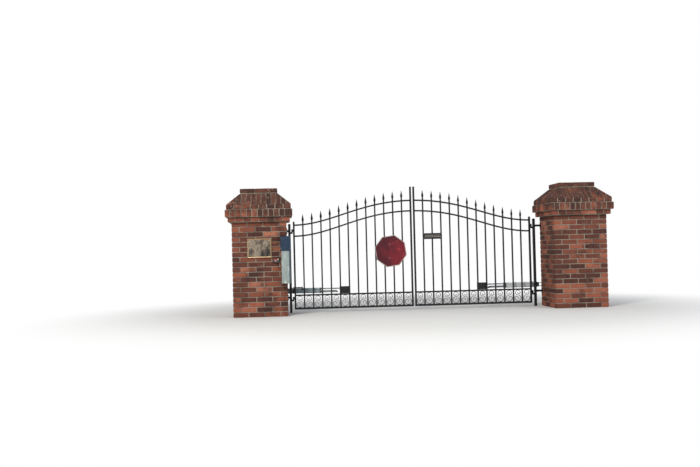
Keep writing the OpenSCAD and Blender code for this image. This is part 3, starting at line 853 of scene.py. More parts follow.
# %% Cap sizes
CAP_TOP = 512 * MM
TOP_INNER = CAP_TOP - 2 * (BRICK_WIDTH + JOINT)
TOP_MIDDLE = TOP_INNER - 2 * BRICK_WIDTH
CUT_BRICK = (TOP_MIDDLE + BRICK_WIDTH - JOINT, BRICK_WIDTH, BRICK_HEIGHT)
MIDDLE_TONE = 0.4
SLOPE_COLUMNS = 3
SLOPE_ROWS = 5
MITRE_JOINT = 0.02
RIM_WEAR = (2 * MM, 5 * MM)
FACE_WEAR = (0.0, 3 * MM)
WEAR_BACK = 0.65
WEAR_DOWN = 0.75
SKIN = Vector((0.0, 26 * MM, -30 * MM))


def hip_share(x, foot):
    """How far up the slope, from 0 to 1, the hip line lies over x."""
    return min(1.0, max(0.0, (foot / 2 - abs(x)) / ((foot - CAP_TOP) / 2)))


print("middle of the top:", round(TOP_MIDDLE / MM), "mm")

# %% [markdown]
# One brick is worked out as rows of points first. Then the rows become a worn face, and a
# second, smooth layer under it closes the brick.

# %% One brick of the slope
def slope_points(left, right, foot, rise, chance):
    """Rows of points up the slope, between the brick's joints and under the hip line."""
    run = (foot - CAP_TOP) / 2
    low_share = JOINT / 2 / math.hypot(run, rise)
    lines = []
    for row in range(SLOPE_ROWS + 1):
        line = []
        for column in range(SLOPE_COLUMNS + 1):
            x = left + (right - left) * column / SLOPE_COLUMNS
            high = max(low_share + MITRE_JOINT, hip_share(x, foot) - MITRE_JOINT)
            share = low_share + (high - low_share) * row / SLOPE_ROWS
            rim = row in (0, SLOPE_ROWS) or column in (0, SLOPE_COLUMNS)
            sink = chance.uniform(*(RIM_WEAR if rim else FACE_WEAR))
            line.append(Vector((x, -foot / 2 + run * share + sink * WEAR_BACK,
                                rise * share - sink * WEAR_DOWN)))
        lines.append(line)
    return lines


def slope_brick(bm, tone, shade, lines, place):
    """Closes the worn face with a skin of the same grid under it."""
    def make(point):
        vert = bm.verts.new(place @ point)
        vert[tone] = shade
        return vert

    def close(corners, flip):
        bm.faces.new(corners[::-1] if flip else corners)

    upper = [[make(point) for point in line] for line in lines]
    lower = [[make(point + SKIN) for point in line] for line in lines]
    for row in range(SLOPE_ROWS):
        for column in range(SLOPE_COLUMNS):
            for grid, flip in ((upper, False), (lower, True)):
                close([grid[row][column], grid[row][column + 1],
                       grid[row + 1][column + 1], grid[row + 1][column]], flip)
    for row in range(SLOPE_ROWS):
        for column, flip in ((0, True), (SLOPE_COLUMNS, False)):
            close([upper[row][column], lower[row][column],
                   lower[row + 1][column], upper[row + 1][column]], flip)
    for column in range(SLOPE_COLUMNS):
        for row, flip in ((0, False), (SLOPE_ROWS, True)):
            close([upper[row][column], lower[row][column],
                   lower[row][column + 1], upper[row][column + 1]], flip)


print("points of one slope brick:", 2 * (SLOPE_COLUMNS + 1) * (SLOPE_ROWS + 1))

# %% [markdown]
# Each side of the skirt gets its bricks in turn, and the whole cap is put together from its
# rings, its skirt, one small brick in the middle of the top and a core of mortar.

# %% Caps
MORTAR_UNDER_TOP = 9 * MM


def cap_skirt(centre, foot, slope_low, rise, seed):
    """The skirt, and the small brick that closes the middle of the top."""
    chance = random.Random(seed)
    bm = bmesh.new()
    tone = bm.verts.layers.float.new("brick_tone")
    half = TOP_MIDDLE / 2 - JOINT
    top = slope_low + rise + COURSE - JOINT / 2
    box(bm, (centre.x - half, centre.y - half, top - BRICK_HEIGHT),
        (centre.x + half, centre.y + half, top), ARRIS)
    for vert in bm.verts:
        vert[tone] = MIDDLE_TONE
    count = round(foot / COURSE)
    pitch = foot / count
    for quarter in range(4):
        place = (Matrix.Translation((centre.x, centre.y, slope_low))
                 @ Matrix.Rotation(quarter * math.pi / 2, 4, "Z"))
        for number in range(count):
            shade = chance.random()
            left = -foot / 2 + number * pitch + JOINT / 2
            lines = slope_points(left, left + pitch - JOINT, foot, rise, chance)
            slope_brick(bm, tone, shade, lines, place)
    put_in_order(bm)
    return bm


def lay_cap(side_name, seed):
    node = side_name + "_pier_cap"
    name = side_name + "_cap"
    low, high = corners_of(node)
    foot = high.x - low.x
    centre = (low + high) / 2
    slope_low = low.z + COURSE
    slope_high = high.z - COURSE
    lay_rings(name + "_header_bricks", node, low.z, foot, COURSE,
              rings=1, per_side=7, brick=HEADER, seed=seed)
    lay_rings(name + "_top_bricks", node, slope_high, CAP_TOP, COURSE,
              rings=1, per_side=2, brick=STRETCHER, seed=seed + 3)
    lay_rings(name + "_inner_bricks", node, slope_high, TOP_INNER, COURSE,
              rings=1, per_side=1, brick=CUT_BRICK, seed=seed + 6)
    skirt = cap_skirt(centre, foot, slope_low, slope_high - slope_low, seed)
    drawn_piece(name + "_slope_bricks", skirt, [brick_clay], replaces=[node])
    bm = bmesh.new()
    base = rectangle(foot - 2 * JOINT_DEPTH, foot - 2 * JOINT_DEPTH)
    crown = rectangle(CAP_TOP - 2 * JOINT_DEPTH, CAP_TOP - 2 * JOINT_DEPTH)
    loft(bm, [(base, low.z), (base, slope_low - JOINT_DEPTH), (crown, slope_high - JOINT_DEPTH),
              (crown, high.z - MORTAR_UNDER_TOP)], Matrix.Translation((centre.x, centre.y, 0.0)))
    drawn_piece(name + "_mortar", bm, [lime_mortar], replaces=[node])
    print(name, "bricks a side of the slope:", round(foot / COURSE))


lay_cap("left", 23)
lay_cap("right", 61)

# %% [markdown]
# ## Paint for the packed iron
# The bars, rails, scrolls and spear points have their right shape already, so they keep
# their meshes and only get the iron paint. The operators' rods and the conduit keep theirs
# too, and get finishes of their own.

# %% Finish the CAD nodes
BLACK_NODES = ["hinge_post", "hinge_pins", "operator_mount", "stiles", "straight_rails",
               "arched_rails", "pickets", "spear_points", "scrolls", "knuckles",
               "operator_bracket"]


def paint_node(node, finish):
    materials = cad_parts[node].data.materials
    materials.clear()
    materials.append(finish)


for side_name, _ in SIDES:
    for part in BLACK_NODES:
        paint_node(side_name + "_" + part, iron_paint)
    paint_node(side_name + "_operator_rod", rod_steel)
paint_node("sign_straps", iron_paint)
paint_node("left_operator_conduit", conduit_black)
print("black iron nodes:", 2 * len(BLACK_NODES) + 1)

# %% [markdown]
# ## Places shared with the packed model
# Welds, collars and bolts have to sit exactly on the bars, so these few numbers repeat the
# part's own values in metres. `arch_height` is the rails' curve: a cosine wave from the
# hinge stiles to the middle, made a little fuller by a squared sine.

# %% Places
PIER_X = 4.442
PIER_HALF = 373 * MM
GATE_MIDDLE = 2.190
GATE_Y = 0.323
PICKETS = 12
PITCH = 130 * MM
MEETING_X = 23.5 * MM
STILE_X = MEETING_X + (PICKETS + 1) * PITCH
STILE = 25 * MM
FRAME_DEPTH = 32 * MM
PICKET = 20 * MM
RAIL = 22 * MM
BOTTOM_RAIL = (46 * MM, 74 * MM)
LOWER_RAIL_Z = 249 * MM
ARCHES = ((1095 * MM, 329 * MM), (1253 * MM, 322 * MM))
ARCH_FULLNESS = 0.08
SPEAR_OVER_RAIL = 24 * MM
POST_X = 1.7775
POST = 35 * MM
POST_TOP = 1.265
LUG_HEIGHTS = (0.220, 1.169)
LUG_HALF = (14 * MM, 15 * MM)


def arch_height(x, foot, rise):
    turn = math.pi * min(abs(x) / STILE_X, 1.0)
    return foot + rise * ((1 + math.cos(turn)) / 2 + ARCH_FULLNESS * math.sin(turn) ** 2)


def picket_x(number):
    """How far a picket, counted from the middle, stands from the gate's middle."""
    return MEETING_X + number * PITCH


def at_gate(side, x, y, z):
    """A point given outwards from the gate's middle and from its plane."""
    return Vector((GATE_MIDDLE + side * x, GATE_Y + y, z))


print("spear foot over picket 6:", round(arch_height(picket_x(6), *ARCHES[1]), 3))

# %% [markdown]
# ## Weld beads
# A welder joins the bars with a row of small overlapping ripples. Nodes do the same: the
# seams are plain edges, which become curves, which become evenly spaced points, and a low
# drop of metal with a slightly random size goes on each point.

# %% Weld tree
DROP_RADIUS = 2.6 * MM
DROP_SIZES = (0.75, 1.2)


def weld_tree():
    graph = Graph("weld_beads", {
        "Geometry": ("Geometry", None), "Drop": ("Object", None), "Spacing": ("Float", 0.0035),
        "Seed": ("Int", 5), "Finish": ("Material", None)})
    given = graph.given
    seams = graph.node("GeometryNodeMeshToCurve", None, [given["Geometry"]])
    spaced = graph.node("GeometryNodeCurveToPoints", {"mode": "LENGTH"},
                        {"Curve": seams, "Length": given["Spacing"]})
    drops = graph.copies(spaced, given["Drop"],
                         {"Rotation": spaced.output("Rotation"),
                          "Scale": graph.random_number(*DROP_SIZES, given["Seed"])})
    return graph.finish(graph.realize(drops), given["Finish"])


weld_beads = weld_tree()
print("weld tree nodes:", len(weld_beads.nodes))


def weld(name, seams, body):
    """Lays beads along seams, each a list of points in the shared frame."""
    host = bpy.data.meshes.new(name + "_seams")
    edges = []
    start = 0
    for seam in seams:
        edges += [(start + i, start + i + 1) for i in range(len(seam) - 1)]
        start += len(seam)
    host.from_pydata([point for seam in seams for point in seam], edges, [])
    bm = bmesh.new()
    bmesh.ops.create_icosphere(bm, subdivisions=1, radius=DROP_RADIUS)
    drop = link_block("weld_drop", bm, 80)
    mesh = run_tree(weld_beads, name, host, Drop=drop, Finish=iron_paint)
    bpy.data.objects.remove(drop)
    add_piece(name, mesh, body=body)
    print(name, "seams:", len(seams), "faces:", len(mesh.polygons))


# %% [markdown]
# The seams themselves are short runs of points. A rail's end is welded over its front, top
# and back where it meets a stile, a picket's foot and a spear's foot are welded all round,
# and so is the end of each lug on the posts.

# %% Seams of the leaves and posts
def box_seam(side, x, half_y, low, high):
    """Round an upright joint at x, over its front, top and back."""
    return [at_gate(side, x, y, z) for y, z in ((-half_y, low), (-half_y, high),
                                                (half_y, high), (half_y, low))]


def around(half_width, half_height):
    """The corners of a rectangle, with the first one again at the end."""
    return [(-half_width, -half_height), (half_width, -half_height), (half_width, half_height),
            (-half_width, half_height), (-half_width, -half_height)]


for side_name, side in SIDES:
    seams = []
    for x in (MEETING_X + STILE / 2, STILE_X - STILE / 2):
        seams.append(box_seam(side, x, FRAME_DEPTH / 2, *BOTTOM_RAIL))
        for z in [LOWER_RAIL_Z] + [arch_height(x, *arch) for arch in ARCHES]:
            seams.append(box_seam(side, x, FRAME_DEPTH / 2, z - RAIL / 2, z + RAIL / 2))
    for x in [picket_x(number) for number in range(1, PICKETS + 1)]:
        for z in (BOTTOM_RAIL[1], arch_height(x, *ARCHES[1]) + SPEAR_OVER_RAIL):
            seams.append([at_gate(side, x + dx, dy, z) for dx, dy in around(PICKET / 2, PICKET / 2)])
    weld(side_name + "_leaf_welds", seams, side_name + "_leaf")
    post_side = POST_X + POST / 2
    weld(side_name + "_post_welds", [[at_gate(side, post_side, dy, z + dz)
                                      for dy, dz in around(*LUG_HALF)] for z in LUG_HEIGHTS], "root")

# %% [markdown]
# ## Bolts and screws
# Every fixing is a copy of one shape on a point that knows which way it faces. The point's
# "facing" is a named attribute, and the tree turns the copy's own Z to it, then spins it by
# a random angle, because bolts pulled tight never end with their flats in line.

# %% Fixing tree
def fixing_tree():
    graph = Graph("fixings", {
        "Geometry": ("Geometry", None), "Fixing": ("Object", None), "Size": ("Float", 1.0),
        "Seed": ("Int", 3), "Finish": ("Material", None)})
    given = graph.given
    way = graph.node("GeometryNodeInputNamedAttribute", {"data_type": "FLOAT_VECTOR"},
                     {"Name": "facing"})
    aligned = graph.node("FunctionNodeAlignRotationToVector", {"axis": "Z"}, {"Vector": way})
    angle = graph.random_number(0.0, 2 * math.pi, given["Seed"])
    spin = graph.node("ShaderNodeCombineXYZ", None, [0.0, 0.0, angle])
    turned = graph.node("FunctionNodeRotateRotation", {"rotation_space": "LOCAL"},
                        {"Rotation": aligned, "Rotate By": spin})
    placed = graph.copies(given["Geometry"], given["Fixing"],
                          {"Rotation": turned, "Scale": given["Size"]})
    return graph.finish(graph.realize(placed), given["Finish"])


fixings = fixing_tree()
print("fixing tree nodes:", len(fixings.nodes))

# %% [markdown]
# Two fixings are enough for the whole gate: a hexagon bolt on its washer, which also passes
# for a nut, and a small domed screw. Both are turned on the lathe helper. They repeat many
# times and look small, so each has well under a hundred faces.

# %% Bolt and screw
HEX_RADIUS = 8.6


def hex_bolt():
    """A washer, a six-sided head with a chamfer, and a little of the thread."""
    bm = bmesh.new()
    flat = Matrix.Identity(4)
    lathe(bm, in_mm([(11, 0), (11, 1.4), (10.4, 2)]), flat, 16)
    lathe(bm, in_mm([(8.2, 1.5), (HEX_RADIUS, 2.2), (HEX_RADIUS, 6.6), (7.2, 7.6)]), flat, 6)
    lathe(bm, in_mm([(4.6, 7), (4.6, 9.4), (3.8, 10)]), flat, 12)
    return link_block("hex_bolt", bm, 35)


def dome_screw():
    """A low dome with a straight bar across it."""
    bm = bmesh.new()
    lathe(bm, in_mm([(5, 0), (5, 0.6), (4.3, 1.7), (2.6, 2.5)]), Matrix.Identity(4), 16)
    box(bm, (-3.4 * MM, -0.5 * MM, 1.5 * MM), (3.4 * MM, 0.5 * MM, 2.62 * MM))
    return link_block("dome_screw", bm, 40)


def fix(name, make_fixing, places, body, finish, size=1.0, seed=3):
    """Puts one fixing on each (point, direction)."""
    host = bpy.data.meshes.new(name + "_points")
    host.from_pydata([point for point, _ in places], [], [])
    ways = host.attributes.new("facing", "FLOAT_VECTOR", "POINT")
    for item, (_, way) in zip(ways.data, places):
        item.vector = way
    shape = make_fixing()
    mesh = run_tree(fixings, name, host, Fixing=shape, Size=size, Seed=seed, Finish=finish)
    bpy.data.objects.remove(shape)
    add_piece(name, mesh, body=body)
    print(name, "fixings:", len(places))


def front_grid(xs, y, zs):
    """Places on a face that looks to the front, column by column."""
    return [(Vector((x, y, z)), FRONT) for x in xs for z in zs]


print("bolt head across its flats:", round(2 * HEX_RADIUS * math.cos(math.pi / 6), 1), "mm")

# %% [markdown]
# ## Post caps and wall flanges
# The posts are closed by a low pyramid cap. Each lug is welded to a small flange that two
# bolts hold to the brickwork. Caps and flanges are plain solids with an edge taken off, so
# a loft through a few levels is all they need.

# %% Post fittings
FLANGE = (56 * MM, 84 * MM)
FLANGE_T = 4 * MM
FLANGE_BOLT_UP = 29 * MM
CAP_OVERHANG = 2 * MM
wall_bolts = []
for side_name, side in SIDES:
    bm = bmesh.new()
    wide = POST + 2 * CAP_OVERHANG
    skirt = rectangle(wide, wide)
    shoulder = rectangle(wide - 6 * MM, wide - 6 * MM)
    tip = rectangle(4 * MM, 4 * MM)
    loft(bm, [(skirt, -5 * MM), (skirt, 1.5 * MM), (shoulder, 3 * MM), (tip, 9 * MM)],
         Matrix.Translation(at_gate(side, POST_X, 0.0, POST_TOP)))
    wall_x = PIER_HALF if side < 0 else PIER_X - PIER_HALF
    way = Vector((-side, 0, 0))
    for z in LUG_HEIGHTS:
        spot = Vector((wall_x, GATE_Y, z))
        plate(bm, *FLANGE, 5 * MM, FLANGE_T, 1 * MM, facing(way, spot))
        for dz in (-FLANGE_BOLT_UP, FLANGE_BOLT_UP):
            wall_bolts.append((spot + way * FLANGE_T + UP * dz, way))
    drawn_piece(side_name + "_post_fittings", bm, [iron_paint])
fix("wall_bolts", hex_bolt, wall_bolts, "root", iron_paint, size=0.8, seed=8)

# %% [markdown]
# ## Operator details
# Each operator is a painted extrusion with a channel down each side, held between two
# cast ends by screws. It lies at a slight slant, so all of it is drawn along the operator's
# own axis and then laid on the line from the rear pivot to the front one.

# %% Operator frame
REAR_PIVOT = (1.858, 0.130)
FRONT_PIVOT = (0.9985, 0.095)
OPERATOR_Z = 0.308
HOUSING = (80 * MM, 78 * MM)
HOUSING_CORNER = 14 * MM
HOUSING_START = 22 * MM
HOUSING_END = 520 * MM
SHELL_INSET = 2 * MM
ROD_Z = 23 * MM
ROD_MIDDLE = Vector((0.0, ROD_Z))
ROD_BORE = 10.6 * MM


def along_operator(side):
    """From (along, towards the leaf, up), off the rear pivot, to the shared frame."""
    rear = at_gate(side, *REAR_PIVOT, OPERATOR_Z)
    front = at_gate(side, *FRONT_PIVOT, OPERATOR_Z)
    along = (front - rear).normalized()
    inner = UP.cross(along) * side
    return Matrix.Translation(rear) @ Matrix((along, inner, UP)).transposed().to_4x4()


def along_axis(side, s=0.0):
    """A section plane at distance s: its own X is towards the leaf, Y up, Z forwards."""
    swap = Matrix(((0, 0, 1, s), (1, 0, 0, 0), (0, 1, 0, 0), (0, 0, 0, 1)))
    return along_operator(side) @ swap


def on_lid(side):
    """The top of the shell, over the rear pivot."""
    return along_operator(side) @ Matrix.Translation((0, 0, HOUSING[1] / 2 - SHELL_INSET))


print("operator's reach:", round(REAR_PIVOT[0] - FRONT_PIVOT[0], 3), "m")

# %% [markdown]
# The ends have the outline of a rounded square, and the extrusion between them has its two
# channels cut into that. `bore` puts one point of a circle on the ray to each outline
# point, so that a ring of quads joins a square outline to a round hole without crossing
# itself. A Boolean cuts the same hole, but it often leaves long thin triangles round it.

# %% Operator outlines
CHANNEL_DEPTH = 3 * MM
CHANNEL_MOUTH = 16 * MM
CHANNEL_FLOOR = 12 * MM


def housing_outline(inset):
    return rectangle(HOUSING[0] - 2 * inset, HOUSING[1] - 2 * inset, HOUSING_CORNER - inset, steps=6)


def dense(outline, step=6 * MM):
    """The same outline with extra points along its long edges."""
    points = []
    for i, start in enumerate(outline):
        end = outline[(i + 1) % len(outline)]
        parts = max(1, math.ceil((end - start).length / step))
        points += [start.lerp(end, k / parts) for k in range(parts)]
    return points


def bore(outline, radius, middle):
    """A circle with one point on the ray to each of the outline's points."""
    return [middle + (point - middle).normalized() * radius for point in outline]


def channelled_section():
    """The extrusion's section: rounded corners and a shallow channel down each side."""
    points = housing_outline(SHELL_INSET)
    half_way = len(points) // 2
    outer = HOUSING[0] / 2 - SHELL_INSET
    deep = outer - CHANNEL_DEPTH
    channel = [Vector(corner) for corner in ((outer, -CHANNEL_MOUTH), (deep, -CHANNEL_FLOOR),
                                             (deep, CHANNEL_FLOOR), (outer, CHANNEL_MOUTH))]
    opposite = [-corner for corner in channel]
    return points[:half_way] + channel + points[half_way:] + opposite


def lug_outline(radius):
    """Round behind the pivot, straight towards the housing."""
    foot = HOUSING_START + 2 * MM
    angles = [math.pi * (0.5 + k / 12) for k in range(13)]
    arc = [Vector((radius * math.cos(angle), radius * math.sin(angle))) for angle in angles]
    return dense([Vector((foot, -radius)), Vector((foot, radius))] + arc, 4 * MM)


print("points of the housing's outline:", len(housing_outline(0.0)))

# %% [markdown]
# The shell is one ring: out along the section, in to the rod's bore and back. A shallow lid
# lies on its top.

# %% Operator shells
SHELL_START = 44 * MM
SHELL_END = HOUSING_END - 20 * MM
LID = (398 * MM, 34 * MM)
LID_MIDDLE = (271 * MM, 0.0)
# The left shell gets the coat that is darkened as painted shade.
COATS = {"left": shaded_weathered_coat, "right": housing_coat}
section = dense(channelled_section())
section_hole = bore(section, ROD_BORE, ROD_MIDDLE)
lid = rectangle(*LID, 6 * MM, LID_MIDDLE)
lid_top = rectangle(LID[0] - 4 * MM, LID[1] - 4 * MM, 4 * MM, LID_MIDDLE)


def add_shell(side_name, side):
    body = side_name + "_operator"
    bm = bmesh.new()
    ring(bm, [(section, SHELL_START), (section, SHELL_END),
              (section_hole, SHELL_END), (section_hole, SHELL_START)], along_axis(side))
    loft(bm, [(lid, -1 * MM), (lid, 1 * MM), (lid_top, 2 * MM)], on_lid(side))
    drawn_piece(body + "_shell", bm, [COATS[side_name]], body,
                [body + "_housing"], crisp=25)


print("points in the shell's section:", len(section))

# %% [markdown]
# Each end is a casting a little larger than the shell, with its edges eased. The front one
# is bored for the rod, and the rear one carries the lug that turns on the pivot's pin.

# %% Operator end caps
REAR_CAP_END = 46 * MM
FRONT_FACE = HOUSING_END - 1 * MM
FRONT_CAP_START = FRONT_FACE - 23 * MM
LUG_RADIUS = 13 * MM
LUG_HALF_HEIGHT = 17 * MM
PIN_BORE = 6.3 * MM
cast_end = dense(housing_outline(0.0))
eased_end = [point * 0.97 for point in cast_end]
end_face = [point * 0.90 for point in cast_end]
end_hole = bore(cast_end, ROD_BORE, ROD_MIDDLE)
lug = lug_outline(LUG_RADIUS)
slim_lug = [point * 0.94 for point in lug]
pin_hole = bore(lug, PIN_BORE, Vector((0.0, 0.0)))


def add_end_caps(side_name, side):
    body = side_name + "_operator"
    bm = bmesh.new()
    loft(bm, [(end_face, HOUSING_START), (eased_end, HOUSING_START + 1 * MM),
              (cast_end, HOUSING_START + 4 * MM), (cast_end, REAR_CAP_END - 1 * MM),
              (eased_end, REAR_CAP_END)], along_axis(side))
    ring(bm, [(eased_end, FRONT_CAP_START), (cast_end, FRONT_CAP_START + 1 * MM),
              (cast_end, FRONT_FACE - 4 * MM), (eased_end, FRONT_FACE - 1 * MM),
              (end_face, FRONT_FACE), (end_hole, FRONT_FACE), (end_hole, FRONT_CAP_START)],
         along_axis(side))
    ring(bm, [(slim_lug, -LUG_HALF_HEIGHT), (lug, 1 * MM - LUG_HALF_HEIGHT),
              (lug, LUG_HALF_HEIGHT - 1 * MM), (slim_lug, LUG_HALF_HEIGHT),
              (pin_hole, LUG_HALF_HEIGHT), (pin_hole, -LUG_HALF_HEIGHT)], along_operator(side))
    drawn_piece(body + "_end_caps", bm, [cap_grey], body,
                [body + "_housing"], crisp=50)


print("points round a lug:", len(lug))

# %% [markdown]
# Under the rod lies a steel guide bar with a stop collar and a black strip along its top.
# A rubber wiper seals the rod and another seals the bar, and a rubber plug in the lid
# covers the release lock.

# %% Guide bars and wipers
GUIDE_RADIUS = 9 * MM
GUIDE_END = HOUSING_END + 240 * MM
GUIDE_AXIS = Matrix.Translation((0, -ROD_Z, 0))
COLLAR_START = HOUSING_END + 222 * MM
COLLAR = [(9.02, 0), (12.5, 0), (13.5, 1), (13.5, 13), (12.5, 14), (9.02, 14)]
WIPERS = ((ROD_Z, 10.7, 16), (-ROD_Z, 9.02, 14))
PLUG = [(13, 1), (13, 7), (11.5, 9), (5, 9.6)]
PLUG_AT = 96 * MM
guide_strip = rectangle(6 * MM, 12 * MM, 1.5 * MM, (0.0, -9 * MM))


def add_guide_bar(side_name, side):
    body = side_name + "_operator"
    bm = bmesh.new()
    lathe(bm, [(GUIDE_RADIUS, HOUSING_END - 6 * MM), (GUIDE_RADIUS, GUIDE_END - 2 * MM),
               (GUIDE_RADIUS - 2 * MM, GUIDE_END)], along_axis(side) @ GUIDE_AXIS)
    drawn_piece(body + "_guide_bar", bm, [rod_steel], body,
                [body + "_housing"], crisp=40)


def add_wipers(side_name, side):
    """Both wipers, the stop collar, the bar's black strip and the plug in the lid."""
    body = side_name + "_operator"
    bm = bmesh.new()
    for height, inner, outer in WIPERS:
        lip = [(inner, 0), (outer, 0), (outer, 4), (outer - 2, 7), (inner + 1, 9), (inner, 9)]
        lathe(bm, in_mm(lip), along_axis(side, FRONT_FACE) @ Matrix.Translation((0, height, 0)),
              28, hollow=True)
    lathe(bm, in_mm(COLLAR), along_axis(side, COLLAR_START) @ GUIDE_AXIS, 28, hollow=True)
    loft(bm, [(guide_strip, HOUSING_END - 2 * MM), (guide_strip, COLLAR_START + 1 * MM)],
         along_axis(side))
    lathe(bm, in_mm(PLUG), on_lid(side) @ Matrix.Translation((PLUG_AT, 0, 0)))
    drawn_piece(body + "_wipers", bm, [seal_rubber], body, crisp=40)


print("guide bar shows for", round((GUIDE_END - HOUSING_END) / MM), "mm")

# %% [markdown]
# Four screws hold each end to the shell, and a bolt through each rear lug ends in a nut
# over it and a nut under it. With these the operator is complete, so both are put together
# here, piece by piece.

# %% Operator screws
SCREW_ACROSS = 26 * MM
SCREW_UP = 25 * MM
PIN_TOP = 26 * MM


def add_screws(side_name, side):
    body = side_name + "_operator"
    frame_at = along_operator(side)
    way = frame_at.to_3x3() @ Vector((1, 0, 0))
    screws = []
    for y in (-SCREW_ACROSS, SCREW_ACROSS):
        for z in (-SCREW_UP, SCREW_UP):
            screws.append((frame_at @ Vector((HOUSING_START, y, z)), -way))
            screws.append((frame_at @ Vector((FRONT_FACE, y, z)), way))
    fix(body + "_screws", dome_screw, screws, body, bolt_zinc, size=0.9, seed=5)
    pivot = frame_at.translation
    nuts = [(pivot + UP * PIN_TOP, UP), (pivot - UP * PIN_TOP, DOWN)]
    fix(side_name + "_pivot_nuts", hex_bolt, nuts, "root", bolt_zinc, seed=4)


for side_name, side in SIDES:
    add_shell(side_name, side)
    add_end_caps(side_name, side)
    add_guide_bar(side_name, side)
    add_wipers(side_name, side)
    add_screws(side_name, side)

# %% [markdown]
# ## Bolts of the mounts and brackets
# Four anchors hold each operator's mount to its pier. Four bolts hold each bracket to two
# pickets, and each shows a head in front and a nut behind. Their heights come from the
# packed bracket's own corners, so they can't miss its plate.

# %% Mount and bracket bolts
MOUNT_BOLT_X = (1.898, 1.962)
MOUNT_BOLT_UP = 34.2 * MM
MOUNT_FACE_Y = 58 * MM
BRACKET_FACE_Y = 18 * MM
BRACKET_PICKETS = (7, 8)
BRACKET_EDGE = 14 * MM
mount_bolts = []
for side_name, side in SIDES:
    for x in MOUNT_BOLT_X:
        for dz in (-MOUNT_BOLT_UP, MOUNT_BOLT_UP):
            mount_bolts.append((at_gate(side, x, MOUNT_FACE_Y, OPERATOR_Z + dz), BACK))
    low, high = corners_of(side_name + "_operator_bracket")
    bolts = []
    for x in [picket_x(number) for number in BRACKET_PICKETS]:
        for z in (low.z + BRACKET_EDGE, high.z - BRACKET_EDGE):
            bolts.append((at_gate(side, x, BRACKET_FACE_Y, z), BACK))
            bolts.append((at_gate(side, x, -PICKET / 2, z), FRONT))
    fix(side_name + "_bracket_bolts", hex_bolt, bolts, side_name + "_leaf", iron_paint, size=0.8)
fix("mount_anchors", hex_bolt, mount_bolts, "root", bolt_zinc, size=0.65, seed=9)

# %% [markdown]
# ## The octagonal sign
# It is 3 mm sheet with softened corners, a pale line just inside its edge and a bare back.
# Its field is left plain. The sign hangs a little crooked, as in the photograph, so its
# outline is turned here by the same eight degrees as the packed one.

# %% Sign
SIGN_ACROSS = 440 * MM
SIGN_TILT = math.radians(8)
SIGN_PLACE = Vector((1.863, 0.313, 0.849))
SIGN_STRAP = 2.5
SIGN_BOLT_HEIGHTS = (0.749, 0.949)
SHEET_T = 3 * MM
LINE_T = 0.25 * MM
LINE_FROM_EDGE = 2.5 * MM
LINE_WIDTH = 6.5 * MM


def octagon(across, radius=10 * MM):
    reach = across / 2 / math.cos(math.pi / 8)
    angles = [SIGN_TILT + math.pi / 8 + k * math.pi / 4 for k in range(8)]
    return rounded([(reach * math.cos(angle), reach * math.sin(angle)) for angle in angles], radius)


sign_at = facing(FRONT, SIGN_PLACE)
bm = bmesh.new()
eased_sheet = octagon(SIGN_ACROSS - 1 * MM)
full_sheet = octagon(SIGN_ACROSS)
loft(bm, [(eased_sheet, 0.0), (full_sheet, 0.6 * MM), (full_sheet, SHEET_T - 0.6 * MM),
          (eased_sheet, SHEET_T)], sign_at)
mesh = mesh_from(bm, "sign_sheet")
add_piece("sign_sheet", mesh, [sign_red, bare_sheet], "left_leaf", ["stop_sign"])
for sheet_face in mesh.polygons:
    if sheet_face.normal.y > 0.9:
        sheet_face.material_index = 1

bm = bmesh.new()
outer = octagon(SIGN_ACROSS - 2 * LINE_FROM_EDGE)
inner = octagon(SIGN_ACROSS - 2 * (LINE_FROM_EDGE + LINE_WIDTH), 7 * MM)
ring(bm, [(outer, SHEET_T - 0.5 * MM), (outer, SHEET_T + LINE_T),
          (inner, SHEET_T + LINE_T), (inner, SHEET_T - 0.5 * MM)], sign_at)
drawn_piece("sign_border", bm, [sign_white], "left_leaf")
strap_x = GATE_MIDDLE - picket_x(SIGN_STRAP)
sign_bolts = []
for z in SIGN_BOLT_HEIGHTS:
    sign_bolts.append((Vector((strap_x, SIGN_PLACE.y - SHEET_T, z)), FRONT))
    sign_bolts.append((Vector((strap_x, GATE_Y + 14 * MM, z)), BACK))
fix("sign_bolts", hex_bolt, sign_bolts, "left_leaf", bolt_zinc, size=0.7, seed=6)

# %% [markdown]
# ## The notice plate
# It is a black plate with rounded corners, two plain pale stripes and four screws into the
# pickets behind it. The stripes could be a mask in the plate's finish, but as thin strips
# of their own they keep a crisp edge from close by.

# %% Notice plate
NOTICE = (277 * MM, 86 * MM)
NOTICE_PLACE = Vector((2.476, 0.313, 1.052))
NOTICE_SCREW_UP = 33 * MM
notice_at = facing(FRONT, NOTICE_PLACE)
bm = bmesh.new()
plate(bm, *NOTICE, 7 * MM, SHEET_T, 0.8 * MM, notice_at)
drawn_piece("notice_sheet", bm, [notice_black], "right_leaf", ["notice_plate"])
bm = bmesh.new()
for y, width in in_mm([(12, 226), (-11, 240)]):
    stripe = rectangle(width, 5 * MM, 1.5 * MM, (2 * MM, y))
    loft(bm, [(stripe, SHEET_T - 0.4 * MM), (stripe, SHEET_T + 0.2 * MM)], notice_at)
drawn_piece("notice_stripes", bm, [sign_white], "right_leaf")
notice_screws = front_grid([GATE_MIDDLE + picket_x(number) for number in (1, 3)],
                           NOTICE_PLACE.y - SHEET_T,
                           (NOTICE_PLACE.z - NOTICE_SCREW_UP, NOTICE_PLACE.z + NOTICE_SCREW_UP))
fix("notice_screws", dome_screw, notice_screws, "right_leaf", bolt_zinc,
    size=0.9, seed=7)

# %% [markdown]
# ## The plaque
# A brown plaque lies in a gilt frame on the left pier's front. The frame is one moulding
# mitred at its corners: it rises steeply, rolls over and falls in a hollow to the plaque.
# The plaque's field is bare, and a gilt stud sits in each of its corners. Each profile is
# a list of steps: how far in from the frame's edge, and how far out from the wall.

